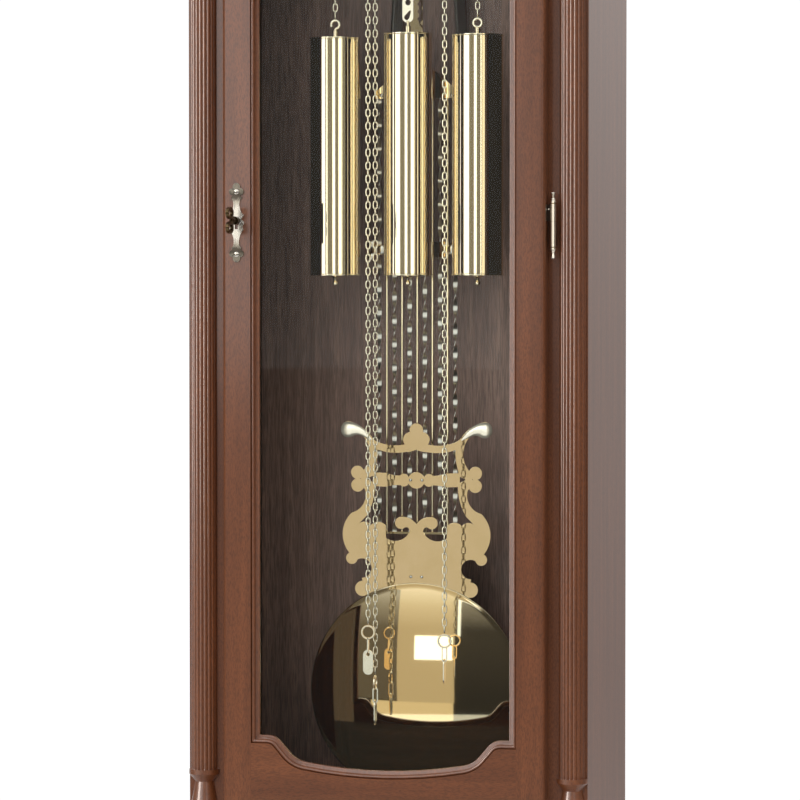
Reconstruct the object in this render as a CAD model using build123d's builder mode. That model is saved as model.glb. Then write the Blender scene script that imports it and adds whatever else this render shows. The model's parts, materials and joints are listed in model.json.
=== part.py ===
"""Glazed floor clock: three brass weights on chains and a lyre pendulum in a panelled case.

Millimetres. +Z is up, X runs across the clock and the clock faces -Y.
The origin is on the floor, under the middle of the case.
Depths are measured back from the face of the door: y = DOOR_FACE + depth.
"""

from build123d import *
from math import atan2, cos, degrees, pi, radians, sin
import os

os.makedirs("parts", exist_ok=True)

# ---------------------------------------------------------------- driving dimensions

# Case, plan
TRUNK_HALF = 214.0  # half the width of the trunk, over the side panels
PLINTH_HALF = 242.0
CORNICE_OUT = 50.0  # how far the cornice stands out from the trunk
BOARD = 18.0  # thickness of the side panels and plinth boards
FRAME_DEPTH = 22.0  # depth of the face frame's front, behind the door's face
FRAME_THICK = 22.0
CASE_BACK = 291.0  # depth of the case's back edge
BACK_PANEL_DEPTH = 270.0
BACK_PANEL_THICK = 9.0
KEY_REACH = 42.0  # how far the key stands out in front of the door
DOOR_FACE = -(CASE_BACK - KEY_REACH) / 2  # centres the whole clock on y = 0

# Case, heights
PLINTH_TOP = 338.0
FLOOR_TOP = 356.0
WAIST_TOP = 376.0
FRAME_OPEN_BOTTOM = 402.0
FRAME_OPEN_TOP = 1752.0
TRUNK_TOP = 1840.0
CORNICE_BOTTOM = 1792.0
CORNICE_TOP = 1888.0
TOTAL_HEIGHT = 2050.0
FRAME_OPEN_HALF = 165.0

# Door
DOOR_HALF = 172.0
DOOR_BOTTOM = 380.0
DOOR_TOP = 1774.0
DOOR_THICK = 20.0
GLASS_DEPTH = 12.0
GLASS_THICK = 3.0
OPENING_HALF = 141.8
SHOULDER_LOW = 527.0  # flat shoulders of the opening's ogee lower edge
SHOULDER_HIGH = 1684.0
SHOULDER_IN = 125.0  # half-width at which the shoulder turns into the ogee
BEAD_WIDTH = 8.0

# Columns
COLUMN_X = 198.0
SHAFT_R = 14.0
RING_R = 16.3
SHAFT_BOTTOM = 496.0
SHAFT_TOP = 1672.0

# Hinges, escutcheon and lock
HINGE_X = 179.2
HINGE_DEPTH = 9.0
HINGE_SEAMS = (434.7, 1075.7, 1728.7)  # heights at which a hinge's two knuckles meet
BARREL_R = 3.1
KEY_X = -156.4
KEY_Z = 1077.5

# Movement
PENDULUM_Z = 1606.0  # height of the suspension's bending point and of the anchor's arbor
DIAL_Z = 1540.0
CHAIN_WHEEL_Z = 1470.0
CHAIN_R = 18.0  # from the chain wheel's axis to the chain's middle
CHAIN_W = 6.0
FRONT_PLATE = 100.0
BACK_PLATE = 162.0
PLATE_THICK = 2.5
PIVOT_R = 1.5
PIVOT_FIT = 0.05

# Weights: name, x of the weight, depth of its chain, side on which the free chain hangs
TRAINS = (("left", -78.0, 124.0, 1), ("centre", 0.0, 133.0, -1), ("right", 78.0, 124.0, -1))
TAG_BOTTOM = {"left": 589.0, "centre": 534.0, "right": 581.0}
WEIGHT_R = 24.5
WEIGHT_BOTTOM = 1020.0
WEIGHT_TOP = 1277.0

# Pendulum
PENDULUM_DEPTH = 180.0
BOB_R = 117.5
BOB_Z = 567.5
BOB_DOME = 640.0  # radius of the bob's domed face
LYRE_THICK = 2.5
ROD_PITCH = 16.9


def y_at(depth):
    """The y of a depth measured back from the face of the door."""
    return DOOR_FACE + depth


def front_plane(depth, x=0, z=0):
    """A plane facing the front at a depth, whose own x and y run along the clock's x and z."""
    return Plane(origin=(x, y_at(depth), z), x_dir=(1, 0, 0), z_dir=(0, -1, 0))


def board(x_low, x_high, depth_low, depth_high, z_low, z_high, mode=Mode.ADD):
    """Add a square-edged board between two corners to the piece being made."""
    centre = ((x_low + x_high) / 2, y_at((depth_low + depth_high) / 2), (z_low + z_high) / 2)
    with Locations(centre):
        Box(x_high - x_low, depth_high - depth_low, z_high - z_low, mode=mode)


def trace(steps, side=1):
    """Draw a closed run of lines and arcs in the line being made.

    steps are (x, z) pairs; a step of the form ("arc", mid, end) bends from the last point to
    end by way of mid. side is -1 to mirror the run about x = 0.
    """
    first = last = (side * steps[0][0], steps[0][1])
    for step in steps[1:]:
        if step[0] == "arc":
            middle, end = [(side * x, z) for x, z in step[1:]]
            ThreePointArc(last, middle, end)
        else:
            end = (side * step[0], step[1])
            Line(last, end)
        last = end
    Line(last, first)


def save(builder, name):
    """Label a finished piece and write it to its own STEP file."""
    builder.part.label = name
    export_step(builder.part, f"parts/{name}.step")


# ---------------------------------------------------------------- plinth and floor

PLINTH_FACE = -6.0

with BuildPart() as plinth_front:
    board(-PLINTH_HALF, PLINTH_HALF, PLINTH_FACE, PLINTH_FACE + BOARD, 0, PLINTH_TOP)
    # A sunk surround leaves a raised, bevelled field in the middle.
    with BuildSketch(front_plane(PLINTH_FACE)):
        with Locations((0, 208)):
            Rectangle(380, 196)
            Rectangle(330, 146, mode=Mode.SUBTRACT)
    extrude(amount=-6, mode=Mode.SUBTRACT)
    field_edges = plinth_front.edges().filter_by_position(
        Axis.Y, y_at(PLINTH_FACE) - 0.01, y_at(PLINTH_FACE) + 0.01
    )
    chamfer([e for e in field_edges if abs(e.center().X) < 166 and 134 < e.center().Z < 282], 4)
save(plinth_front, "plinth_front")

JOINT_GAP = 0.1  # glue line between boards of one group

with BuildPart() as plinth_carcass:
    for side in (-1, 1):
        low, high = sorted((side * (PLINTH_HALF - BOARD), side * PLINTH_HALF))
        board(low, high, PLINTH_FACE + BOARD, CASE_BACK, 0, PLINTH_TOP)
    inner = PLINTH_HALF - BOARD - JOINT_GAP
    board(-inner, inner, CASE_BACK - 12, CASE_BACK, 40, PLINTH_TOP)
save(plinth_carcass, "plinth_carcass")

with BuildPart() as plinth_top:
    board(-PLINTH_HALF - 6, PLINTH_HALF + 6, PLINTH_FACE - 6, CASE_BACK, PLINTH_TOP, FLOOR_TOP)
    front_edges = plinth_top.edges().filter_by(Axis.X).group_by(Axis.Y)[0]
    fillet(front_edges, 6)
save(plinth_top, "plinth_top")


def moulding(profile_steps, half_width, face_depth, back_depth):
    """A moulding round the front and both sides, mitred at the front corners.

    profile_steps are the section's (outward, z) steps, as trace takes them.
    """
    reach = 2 * CORNICE_OUT + 40
    with BuildPart() as ring:
        with BuildLine() as route:
            Polyline(
                (-half_width, y_at(back_depth), 0),
                (-half_width, y_at(face_depth), 0),
                (half_width, y_at(face_depth), 0),
                (half_width, y_at(back_depth), 0),
            )
        section = Plane(
            origin=(-half_width, y_at(back_depth), 0), x_dir=(-1, 0, 0), z_dir=(0, 1, 0)
        )
        with BuildSketch(section):
            with BuildLine():
                trace(profile_steps)
            make_face()
        sweep(path=route.line, transition=Transition.RIGHT)
        for side in (-1, 1):
            with Locations(Location((side * half_width, y_at(face_depth), 0), (0, 0, side * 45))):
                Box(JOINT_GAP, reach * 2, 3 * TOTAL_HEIGHT, mode=Mode.SUBTRACT)
    return ring


base_profile = (
    (0.1, 0),
    (16, 0),
    (16, 58),
    ("arc", (12.5, 66), (7, 70)),
    (7, 76),
    ("arc", (4, 79), (0.1, 80)),
)
base_moulding = moulding(base_profile, PLINTH_HALF, PLINTH_FACE, CASE_BACK)
save(base_moulding, "base_moulding")

waist_profile = (
    (0.1, FLOOR_TOP),
    (24, FLOOR_TOP),
    (24, FLOOR_TOP + 5),
    ("arc", (15, FLOOR_TOP + 9), (11, FLOOR_TOP + 17)),
    (6, FLOOR_TOP + 17),
    (6, WAIST_TOP),
    (0.1, WAIST_TOP),
)
waist_moulding = moulding(waist_profile, TRUNK_HALF, FRAME_DEPTH, CASE_BACK)
save(waist_moulding, "waist_moulding")

# ---------------------------------------------------------------- trunk

for side, name in ((-1, "side_left"), (1, "side_right")):
    with BuildPart() as side_panel:
        low, high = sorted((side * (TRUNK_HALF - BOARD), side * TRUNK_HALF))
        board(low, high, FRAME_DEPTH + FRAME_THICK, CASE_BACK, FLOOR_TOP, TRUNK_TOP)
        # The back panel sits in a groove along the inner face.
        inner_face = side * (TRUNK_HALF - BOARD)
        low, high = sorted((inner_face, inner_face + side * 6))
        board(
            low, high, BACK_PANEL_DEPTH, BACK_PANEL_DEPTH + BACK_PANEL_THICK, FLOOR_TOP, TRUNK_TOP,
            mode=Mode.SUBTRACT,
        )
    save(side_panel, name)

with BuildPart() as back_panel:
    reach = TRUNK_HALF - BOARD + 5.8
    board(
        -reach, reach, BACK_PANEL_DEPTH, BACK_PANEL_DEPTH + BACK_PANEL_THICK, FLOOR_TOP, TRUNK_TOP
    )
save(back_panel, "back_panel")

with BuildPart() as face_frame:
    for side in (-1, 1):
        low, high = sorted((side * FRAME_OPEN_HALF, side * TRUNK_HALF))
        board(low, high, FRAME_DEPTH, FRAME_DEPTH + FRAME_THICK, FLOOR_TOP, TRUNK_TOP)
    rail = FRAME_OPEN_HALF - JOINT_GAP
    board(-rail, rail, FRAME_DEPTH, FRAME_DEPTH + FRAME_THICK, FLOOR_TOP, FRAME_OPEN_BOTTOM)
    board(-rail, rail, FRAME_DEPTH, FRAME_DEPTH + FRAME_THICK, FRAME_OPEN_TOP, TRUNK_TOP)
save(face_frame, "face_frame")

with BuildPart() as top_board:
    board(-TRUNK_HALF, TRUNK_HALF, FRAME_DEPTH, CASE_BACK, TRUNK_TOP, TRUNK_TOP + 16)
save(top_board, "top_board")

cornice_profile = (
    (0.1, CORNICE_BOTTOM),
    (8, CORNICE_BOTTOM),
    ("arc", (11.5, CORNICE_BOTTOM + 3.5), (8, CORNICE_BOTTOM + 7)),
    (8, CORNICE_BOTTOM + 22),
    ("arc", (17, CORNICE_BOTTOM + 47), (40, CORNICE_BOTTOM + 62)),
    (44, CORNICE_BOTTOM + 62),
    (44, CORNICE_BOTTOM + 70),
    ("arc", (48.6, CORNICE_BOTTOM + 76), (CORNICE_OUT, CORNICE_BOTTOM + 84)),
    (CORNICE_OUT, CORNICE_TOP),
    (0.1, CORNICE_TOP),
)
cornice = moulding(cornice_profile, TRUNK_HALF, FRAME_DEPTH, CASE_BACK)
save(cornice, "cornice")

PEDIMENT_FOOT = TRUNK_TOP + 16

with BuildPart() as pediment:
    # The board has level shoulders and rises between them in one arch, like the door's edge.
    with BuildSketch(front_plane(FRAME_DEPTH + BOARD)):
        with BuildLine():
            shoulder = CORNICE_TOP + 36
            Line((-TRUNK_HALF, PEDIMENT_FOOT), (TRUNK_HALF, PEDIMENT_FOOT))
            Line((TRUNK_HALF, PEDIMENT_FOOT), (TRUNK_HALF, shoulder))
            Line((TRUNK_HALF, shoulder), (178, shoulder))
            RadiusArc((178, shoulder), (128, shoulder + 62), -96)
            ThreePointArc((128, shoulder + 62), (0, TOTAL_HEIGHT), (-128, shoulder + 62))
            RadiusArc((-128, shoulder + 62), (-178, shoulder), -96)
            Line((-178, shoulder), (-TRUNK_HALF, shoulder))
            Line((-TRUNK_HALF, shoulder), (-TRUNK_HALF, PEDIMENT_FOOT))
        make_face()
    extrude(amount=BOARD)
    arch = pediment.edges().filter_by(GeomType.CIRCLE).group_by(Axis.Y)[0].sort_by(SortBy.LENGTH)[-1]
    chamfer(arch, 4)
save(pediment, "pediment")

SEAT_TOP = 1422.0

with BuildPart() as seat_rails:
    for depth in (94.0, 152.0):
        board(-TRUNK_HALF + BOARD, TRUNK_HALF - BOARD, depth, depth + 16, SEAT_TOP - 24, SEAT_TOP)
save(seat_rails, "seat_rails")

# ---------------------------------------------------------------- columns

REED_COUNT = 9
REED_R = 2.5
BLOCK_HEIGHT = 24.0  # square block at each end of a column


def turned_end(foot, direction):
    """Outline of a turned column end: (radius, height) from its block to the shaft's ring."""
    steps = (
        (0, 0), (12.5, 0), (RING_R, 5), (10.2, 15), (15.6, 52), (10.3, 83), (RING_R, 91), (RING_R, 96), (0, 96),
    )
    return [(radius, foot + direction * (BLOCK_HEIGHT + height)) for radius, height in steps]


with BuildPart() as columns:
    for side in (-1, 1):
        # Half-round shaft with reeds, planted on the face frame.
        with BuildSketch(Plane.XY.offset(SHAFT_BOTTOM)):
            with Locations((side * COLUMN_X, y_at(FRAME_DEPTH))):
                Circle(SHAFT_R - REED_R + 0.6)
                with PolarLocations(
                    SHAFT_R - REED_R, REED_COUNT, start_angle=190, angular_range=160, endpoint=True
                ):
                    Circle(REED_R)
            with Locations((side * COLUMN_X, y_at(FRAME_DEPTH) + SHAFT_R)):
                Rectangle(4 * SHAFT_R, 2 * SHAFT_R, mode=Mode.SUBTRACT)
        extrude(amount=SHAFT_TOP - SHAFT_BOTTOM)
        for foot, direction in ((WAIST_TOP, 1), (DOOR_TOP + 18, -1)):
            with BuildSketch(front_plane(FRAME_DEPTH, side * COLUMN_X)):
                with BuildLine():
                    Polyline(turned_end(foot, direction), close=True)
                make_face()
            revolve(axis=Axis((side * COLUMN_X, y_at(FRAME_DEPTH), 0), (0, 0, 1)))
            low, high = sorted((foot, foot + direction * BLOCK_HEIGHT))
            board(
                side * COLUMN_X - RING_R, side * COLUMN_X + RING_R - 0.4,
                FRAME_DEPTH - RING_R + 0.4, FRAME_DEPTH, low, high,
            )
        board(
            side * COLUMN_X - 40, side * COLUMN_X + 40, FRAME_DEPTH, FRAME_DEPTH + 60,
            0, TOTAL_HEIGHT, mode=Mode.SUBTRACT,
        )
save(columns, "columns")

# ---------------------------------------------------------------- door

OGEE_TURN = 50.0  # steepest slope of the ogee, degrees
OGEE_CONVEX_R = 10.0
OGEE_SLOPE = 14.0
OGEE_CONCAVE_R = 38.0
OGEE_END = 10.0  # slope at which the ogee meets the long arch, degrees


def ogee(shoulder_z, direction):
    """Edge points of one ogee, right half, from its shoulder to its arch, and the arch's rise.

    direction is -1 for an edge that dips in the middle and 1 for one that rises.
    """
    turn, end = radians(OGEE_TURN), radians(OGEE_END)
    start = (SHOULDER_IN, shoulder_z)
    bend = (
        start[0] - OGEE_CONVEX_R * sin(turn),
        start[1] + direction * OGEE_CONVEX_R * (1 - cos(turn)),
    )
    foot = (bend[0] - OGEE_SLOPE * cos(turn), bend[1] + direction * OGEE_SLOPE * sin(turn))
    meet = (
        foot[0] - OGEE_CONCAVE_R * (sin(turn) - sin(end)),
        foot[1] + direction * OGEE_CONCAVE_R * (cos(end) - cos(turn)),
    )
    rise = meet[0] / sin(end) * (1 - cos(end))
    return start, bend, foot, meet, (0, meet[1] + direction * rise)


def ogee_edge(shoulder_z, direction):
    """Draw the whole ogee edge from the right shoulder to the left one."""
    points = ogee(shoulder_z, direction)
    for side in (1, -1):
        start, bend, foot, meet = [(side * x, z) for x, z in points[:4]]
        Line((side * OPENING_HALF, shoulder_z), start)
        RadiusArc(start, bend, side * direction * OGEE_CONVEX_R)
        Line(bend, foot)
        RadiusArc(foot, meet, -side * direction * OGEE_CONCAVE_R)
    ThreePointArc(points[3], points[4], meet)


def opening_outline():
    """The edges of the door's glazed opening, as (x, z) pairs in a sketch's plane."""
    with BuildLine() as outline:
        ogee_edge(SHOULDER_LOW, -1)
        ogee_edge(SHOULDER_HIGH, 1)
        for side in (-1, 1):
            Line((side * OPENING_HALF, SHOULDER_LOW), (side * OPENING_HALF, SHOULDER_HIGH))
    return outline.edges()

ARRIS = 4.0  # rounding of the door's outer front edge
KEY_BORE = 2.5  # radius of the bore that the key's shank turns in
LEAF = 1.4  # thickness of a hinge leaf
LEAF_DEPTHS = (6.0, 17.0)  # front and back edge of the leaf let into the door's edge
UPPER_KNUCKLE = 18.2
LOWER_KNUCKLE = 26.3

for side, name in ((-1, "door_stile_left"), (1, "door_stile_right")):
    with BuildPart() as stile:
        low, high = sorted((side * OPENING_HALF, side * DOOR_HALF))
        board(low, high, 0, DOOR_THICK, DOOR_BOTTOM, DOOR_TOP)
        outer = stile.edges().filter_by(Axis.Z).group_by(Axis.Y)[0].sort_by(Axis.X)
        fillet(outer[-1] if side > 0 else outer[0], ARRIS)
        if side < 0:
            with Locations(front_plane(0, KEY_X, KEY_Z)):
                Cylinder(KEY_BORE, 3 * DOOR_THICK, mode=Mode.SUBTRACT)
        else:
            for seam in HINGE_SEAMS:
                board(
                    DOOR_HALF - LEAF, DOOR_HALF + 1, *LEAF_DEPTHS, seam + 0.6, seam + UPPER_KNUCKLE - 0.4,
                    mode=Mode.SUBTRACT,
                )
    save(stile, name)

for low, high, name in (
    (DOOR_BOTTOM, SHOULDER_LOW, "door_rail_bottom"),
    (SHOULDER_HIGH, DOOR_TOP, "door_rail_top"),
):
    with BuildPart() as rail_piece:
        board(-OPENING_HALF, OPENING_HALF, 0, DOOR_THICK, low, high)
        with BuildSketch(front_plane(DOOR_THICK + 1)):
            make_face(opening_outline())
        extrude(amount=DOOR_THICK + 2, mode=Mode.SUBTRACT)
        outer = rail_piece.edges().filter_by(Axis.X).group_by(Axis.Y)[0]
        edge_z = DOOR_BOTTOM if name == "door_rail_bottom" else DOOR_TOP
        fillet([e for e in outer if abs(e.center().Z - edge_z) < 0.1], ARRIS)
    save(rail_piece, name)

BEAD_STEP = 3.8  # width of the bead's tall outer step
BEAD_FRONT = 1.6

with BuildPart() as glazing_bead:
    # A tall step along the door, eased on both edges, and a low step along the glass.
    for width, front in ((BEAD_STEP, BEAD_FRONT), (BEAD_WIDTH, 6.5)):
        with BuildSketch(front_plane(GLASS_DEPTH)):
            make_face(opening_outline())
            offset(amount=-width, kind=Kind.INTERSECTION, mode=Mode.SUBTRACT)
        extrude(amount=GLASS_DEPTH - front)
    crest = glazing_bead.edges().filter_by_position(
        Axis.Y, y_at(BEAD_FRONT) - 0.01, y_at(BEAD_FRONT) + 0.01
    )
    chamfer(crest, 1.2)
save(glazing_bead, "glazing_bead")

with BuildPart() as door_glass:
    with BuildSketch(front_plane(GLASS_DEPTH + GLASS_THICK)):
        make_face(opening_outline())
        offset(amount=-0.3, kind=Kind.INTERSECTION, mode=Mode.REPLACE)
    extrude(amount=GLASS_THICK)
save(door_glass, "door_glass")

# ---------------------------------------------------------------- escutcheon, lock and key

ESCUTCHEON_THICK = 1.6
ESCUTCHEON_Z = 1076.0
# Right half of the plate's waist: concave flanks between a collar at each end and three side points.
WAIST = (
    (0, 35), (4.2, 27.4), (6.2, 25.4), (3.9, 23.1), ("arc", (3.3, 16.5), (8.0, 7.2)),
    (5.4, 3.2), (8.7, -0.6), (6.6, -5.0), (7.8, -8.0), ("arc", (3.0, -18.0), (3.4, -24.9)),
    (5.6, -27.4), (4.2, -29.2), (0, -37),
)
LOBES = ((0, 37.2, 4.0), (4.1, 32.0, 3.7), (-4.1, 32.0, 3.7))  # x, height and radius
KEYHOLE_DROP = 9.0

with BuildPart() as escutcheon:
    with BuildSketch(front_plane(0, KEY_X, ESCUTCHEON_Z)):
        for side in (1, -1):
            with BuildLine():
                trace(WAIST, side)
            make_face()
        for x, height, radius in LOBES:
            with Locations((x, height), (x, -height - 1)):
                Circle(radius)
        with Locations((0, KEY_Z - ESCUTCHEON_Z)):
            Circle(3.2, mode=Mode.SUBTRACT)
        with Locations((0, KEY_Z - ESCUTCHEON_Z - KEYHOLE_DROP / 2)):
            Rectangle(3.4, KEYHOLE_DROP, mode=Mode.SUBTRACT)
    extrude(amount=ESCUTCHEON_THICK)
save(escutcheon, "escutcheon")

LOCK_BACK = 43.6

with BuildPart() as lock_case:
    board(KEY_X - 5.1, -OPENING_HALF - 1, DOOR_THICK, LOCK_BACK, KEY_Z - 22, KEY_Z + 22)
    with Locations(front_plane(0, KEY_X, KEY_Z)):
        Cylinder(KEY_BORE, 4 * LOCK_BACK, mode=Mode.SUBTRACT)
save(lock_case, "lock_case")

SHANK_R = 2.42
CAM_REACH = 18.0

with BuildPart() as key:
    with Locations(front_plane((LOCK_BACK + 3.4 - 21) / 2, KEY_X, KEY_Z)):
        Cylinder(SHANK_R, LOCK_BACK + 3.4 + 21)
    # A turned collar on the shank in front of the escutcheon.
    for depth, radius, width in ((-5.5, 3.6, 2.0), (-9.5, 4.4, 3.0)):
        with Locations(front_plane(depth, KEY_X, KEY_Z)):
            Cylinder(radius, width)
    # The bow is two pierced petals, one above the shank and one below, edge-on to the door.
    with BuildSketch(Plane.YZ.offset(KEY_X - 1.5)):
        for drop in (-7.6, 7.6):
            with Locations((y_at(-KEY_REACH + 12), KEY_Z + drop)):
                Ellipse(12, 6.4)
                Ellipse(7.6, 3.2, mode=Mode.SUBTRACT)
        with Locations((y_at(-21), KEY_Z)):
            Rectangle(8, 7)
    extrude(amount=3)
save(key, "key")

with BuildPart() as lock_cam:
    with BuildSketch(front_plane(LOCK_BACK + 3.2)):
        with Locations((KEY_X, KEY_Z)):
            Circle(5)
            Circle(SHANK_R, mode=Mode.SUBTRACT)
        with Locations((KEY_X, KEY_Z - 10.5)):
            Rectangle(6, 2 * (CAM_REACH - 10.5))
    extrude(amount=2.4)
save(lock_cam, "lock_cam")

# ---------------------------------------------------------------- hinges

HINGE_AXIS = Axis((HINGE_X, y_at(HINGE_DEPTH), 0), (0, 0, 1))
PIN_R = 1.5
PIN_ABOVE = 14.0  # how far the pin stands up into the upper knuckle
# Turned finial: a disc, a slim neck and a knob, as (radius, height) from the knuckle's end.
FINIAL = ((0, -1), (3.1, 1.0), (3.1, 2.6), (1.2, 6.4), (2.1, 11.2), (0, 12.8))


def finial(end, direction):
    """Half section of a finial on the end of a knuckle, to turn about the hinge's axis."""
    with BuildSketch(front_plane(HINGE_DEPTH, HINGE_X, end)) as section:
        with BuildLine():
            trace([(radius, direction * height) for radius, height in FINIAL])
        make_face()
    return section.sketch


with BuildPart() as hinge_pins:
    for seam in HINGE_SEAMS:
        revolve(finial(seam - LOWER_KNUCKLE, -1), axis=HINGE_AXIS)
        with Locations((HINGE_X, y_at(HINGE_DEPTH), seam - LOWER_KNUCKLE)):
            Cylinder(BARREL_R, LOWER_KNUCKLE - 0.15, align=(Align.CENTER, Align.CENTER, Align.MIN))
            Cylinder(PIN_R, LOWER_KNUCKLE + PIN_ABOVE, align=(Align.CENTER, Align.CENTER, Align.MIN))
        # The web runs back from the barrel to a foot on the face frame.
        board(HINGE_X - 0.8, HINGE_X + 0.8, HINGE_DEPTH, 20.6, seam - LOWER_KNUCKLE + 1, seam - 0.6)
        board(HINGE_X - 3.2, HINGE_X + 1.8, 20.4, FRAME_DEPTH, seam - LOWER_KNUCKLE + 1, seam - 0.6)
save(hinge_pins, "hinge_pins")

with BuildPart() as hinge_leaves:
    for seam in HINGE_SEAMS:
        revolve(finial(seam + UPPER_KNUCKLE, 1), axis=HINGE_AXIS)
        with Locations((HINGE_X, y_at(HINGE_DEPTH), seam + 0.15)):
            Cylinder(BARREL_R, UPPER_KNUCKLE - 0.15, align=(Align.CENTER, Align.CENTER, Align.MIN))
        # The leaf turns behind the barrel and is let into the door's edge.
        leaf_heights = (seam + 0.6, seam + UPPER_KNUCKLE - 0.4)
        board(HINGE_X - 0.8, HINGE_X + 0.8, HINGE_DEPTH, 15.8, *leaf_heights)
        board(DOOR_HALF - 0.1, HINGE_X, 14.4, 15.8, *leaf_heights)
        board(DOOR_HALF - LEAF, DOOR_HALF, *LEAF_DEPTHS, *leaf_heights)
        with Locations((HINGE_X, y_at(HINGE_DEPTH), seam - 1)):
            Cylinder(PIN_R + PIVOT_FIT, PIN_ABOVE + 2, align=(Align.CENTER, Align.CENTER, Align.MIN), mode=Mode.SUBTRACT)
save(hinge_leaves, "hinge_leaves")

# ---------------------------------------------------------------- movement

THIRD_ARBOR = (31.5 * cos(radians(45)), DIAL_Z + 31.5 * sin(radians(45)))
ESCAPE_ARBOR = (0.0, THIRD_ARBOR[1] + (28.33**2 - THIRD_ARBOR[0] ** 2) ** 0.5)
PLATE_HALF = 88.0
PLATE_TOP = 1638.0


def train_axis(weight_x, side):
    """The x of a train's chain wheel, midway between its two chain falls."""
    return weight_x + side * CHAIN_R


WHEEL_ARBORS = [(train_axis(x, side), CHAIN_WHEEL_Z) for _, x, _, side in TRAINS]
WHEEL_ARBORS += [THIRD_ARBOR, ESCAPE_ARBOR]

with BuildPart() as movement_frame:
    for depth in (FRONT_PLATE, BACK_PLATE):
        with BuildSketch(front_plane(depth + PLATE_THICK)):
            with Locations((0, (SEAT_TOP + PLATE_TOP) / 2)):
                RectangleRounded(2 * PLATE_HALF, PLATE_TOP - SEAT_TOP, 6)
            with Locations(WHEEL_ARBORS):
                Circle(PIVOT_R + PIVOT_FIT, mode=Mode.SUBTRACT)
            with Locations((0, DIAL_Z)):
                Circle((2.5 if depth == FRONT_PLATE else PIVOT_R) + PIVOT_FIT, mode=Mode.SUBTRACT)
            with Locations((0, PENDULUM_Z)):
                Circle((PIVOT_R if depth == FRONT_PLATE else 2.0) + PIVOT_FIT, mode=Mode.SUBTRACT)
        extrude(amount=PLATE_THICK)
    pillar_gap = BACK_PLATE - FRONT_PLATE - PLATE_THICK - 2 * JOINT_GAP
    with Locations(
        [front_plane((FRONT_PLATE + PLATE_THICK + BACK_PLATE) / 2, x, z)
         for x, z in ((-60, 1431), (60, 1431), (-78, 1627), (78, 1627))]
    ):
        Cylinder(5, pillar_gap)
    # The suspension cock carries the pendulum behind the back plate.
    cock_front = BACK_PLATE + PLATE_THICK + JOINT_GAP
    board(-11, 11, cock_front, PENDULUM_DEPTH + 6, PENDULUM_Z + 6, PENDULUM_Z + 26)
    board(-0.8, 0.8, PENDULUM_DEPTH - 6, PENDULUM_DEPTH + 8, PENDULUM_Z, PENDULUM_Z + 14, mode=Mode.SUBTRACT)
save(movement_frame, "movement_frame")


def toothed_disc(teeth, pitch_r, tip, root, first_tooth, width=0.42):
    """A wheel blank with trapezoid teeth, in the sketch being made.

    tip and root are the teeth's height over and depth under the pitch radius. width is a
    tooth's share of the pitch at the pitch circle. first_tooth is one tooth's angle, degrees.
    """
    half = pi * pitch_r / teeth * width
    Circle(pitch_r - root)
    with PolarLocations(0, teeth, start_angle=first_tooth):
        Polygon(
            (pitch_r - root - 0.4, -half * 1.25), (pitch_r + tip, -half * 0.6),
            (pitch_r + tip, half * 0.6), (pitch_r - root - 0.4, half * 1.25), align=None,
        )


def crossings(inner, outer):
    """Cut five straight-sided windows between a wheel's spokes, in the sketch being made."""
    with PolarLocations(0, 5):
        Polygon(
            (inner, -0.38 * inner), (outer, -0.52 * outer), (outer, 0.52 * outer), (inner, 0.38 * inner),
            align=None, mode=Mode.SUBTRACT,
        )


def arbor(x, z, radius, depth_low, depth_high):
    """A round arbor running from front to back."""
    with Locations(front_plane((depth_low + depth_high) / 2, x, z)):
        Cylinder(radius, depth_high - depth_low)


SHAKE = 0.3  # end shake of an arbor between the plates
INNER_FRONT = FRONT_PLATE + PLATE_THICK + SHAKE
INNER_BACK = BACK_PLATE - SHAKE
PIVOT_ENDS = (FRONT_PLATE + 0.4, BACK_PLATE + PLATE_THICK - 0.4)

for train_name, weight_x, depth, side in TRAINS:
    axis_x = train_axis(weight_x, side)
    great_depth = 146 if train_name == "centre" else 152
    with BuildPart() as chain_wheel:
        arbor(axis_x, CHAIN_WHEEL_Z, 3, INNER_FRONT, INNER_BACK)
        arbor(axis_x, CHAIN_WHEEL_Z, PIVOT_R, *PIVOT_ENDS)
        # Alternate links lie on the flats of the drum, between two cheeks.
        with BuildSketch(front_plane(depth + 3.8)):
            with Locations((axis_x, CHAIN_WHEEL_Z)):
                RegularPolygon(CHAIN_R - 3.5, 8)
        extrude(amount=7.6)
        for cheek in (depth - 5.2, depth + 3.7):
            arbor(axis_x, CHAIN_WHEEL_Z, CHAIN_R + 1.6, cheek, cheek + 1.5)
        with BuildSketch(front_plane(great_depth + 2.5)):
            with Locations((axis_x, CHAIN_WHEEL_Z)):
                toothed_disc(36, 28.5, 1.4, 1.6, 0)
        extrude(amount=2.5)
    save(chain_wheel, f"chain_wheel_{train_name}")

MINUTE_ANGLE = 60.0  # clockwise from twelve, at ten past ten
HOUR_ANGLE = 305.0

with BuildPart() as centre_wheel:
    arbor(0, DIAL_Z, 2.5, 46.5, FRONT_PLATE + 4)
    arbor(0, DIAL_Z, 2.5, FRONT_PLATE + 4, INNER_BACK)
    arbor(0, DIAL_Z, PIVOT_R, FRONT_PLATE + 4, PIVOT_ENDS[1])
    with BuildSketch(front_plane(114)):
        with Locations((0, DIAL_Z)):
            toothed_disc(64, 28, 0.15, 1.0, 45)
            crossings(8, 21)
    extrude(amount=2)
save(centre_wheel, "centre_wheel")

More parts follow.
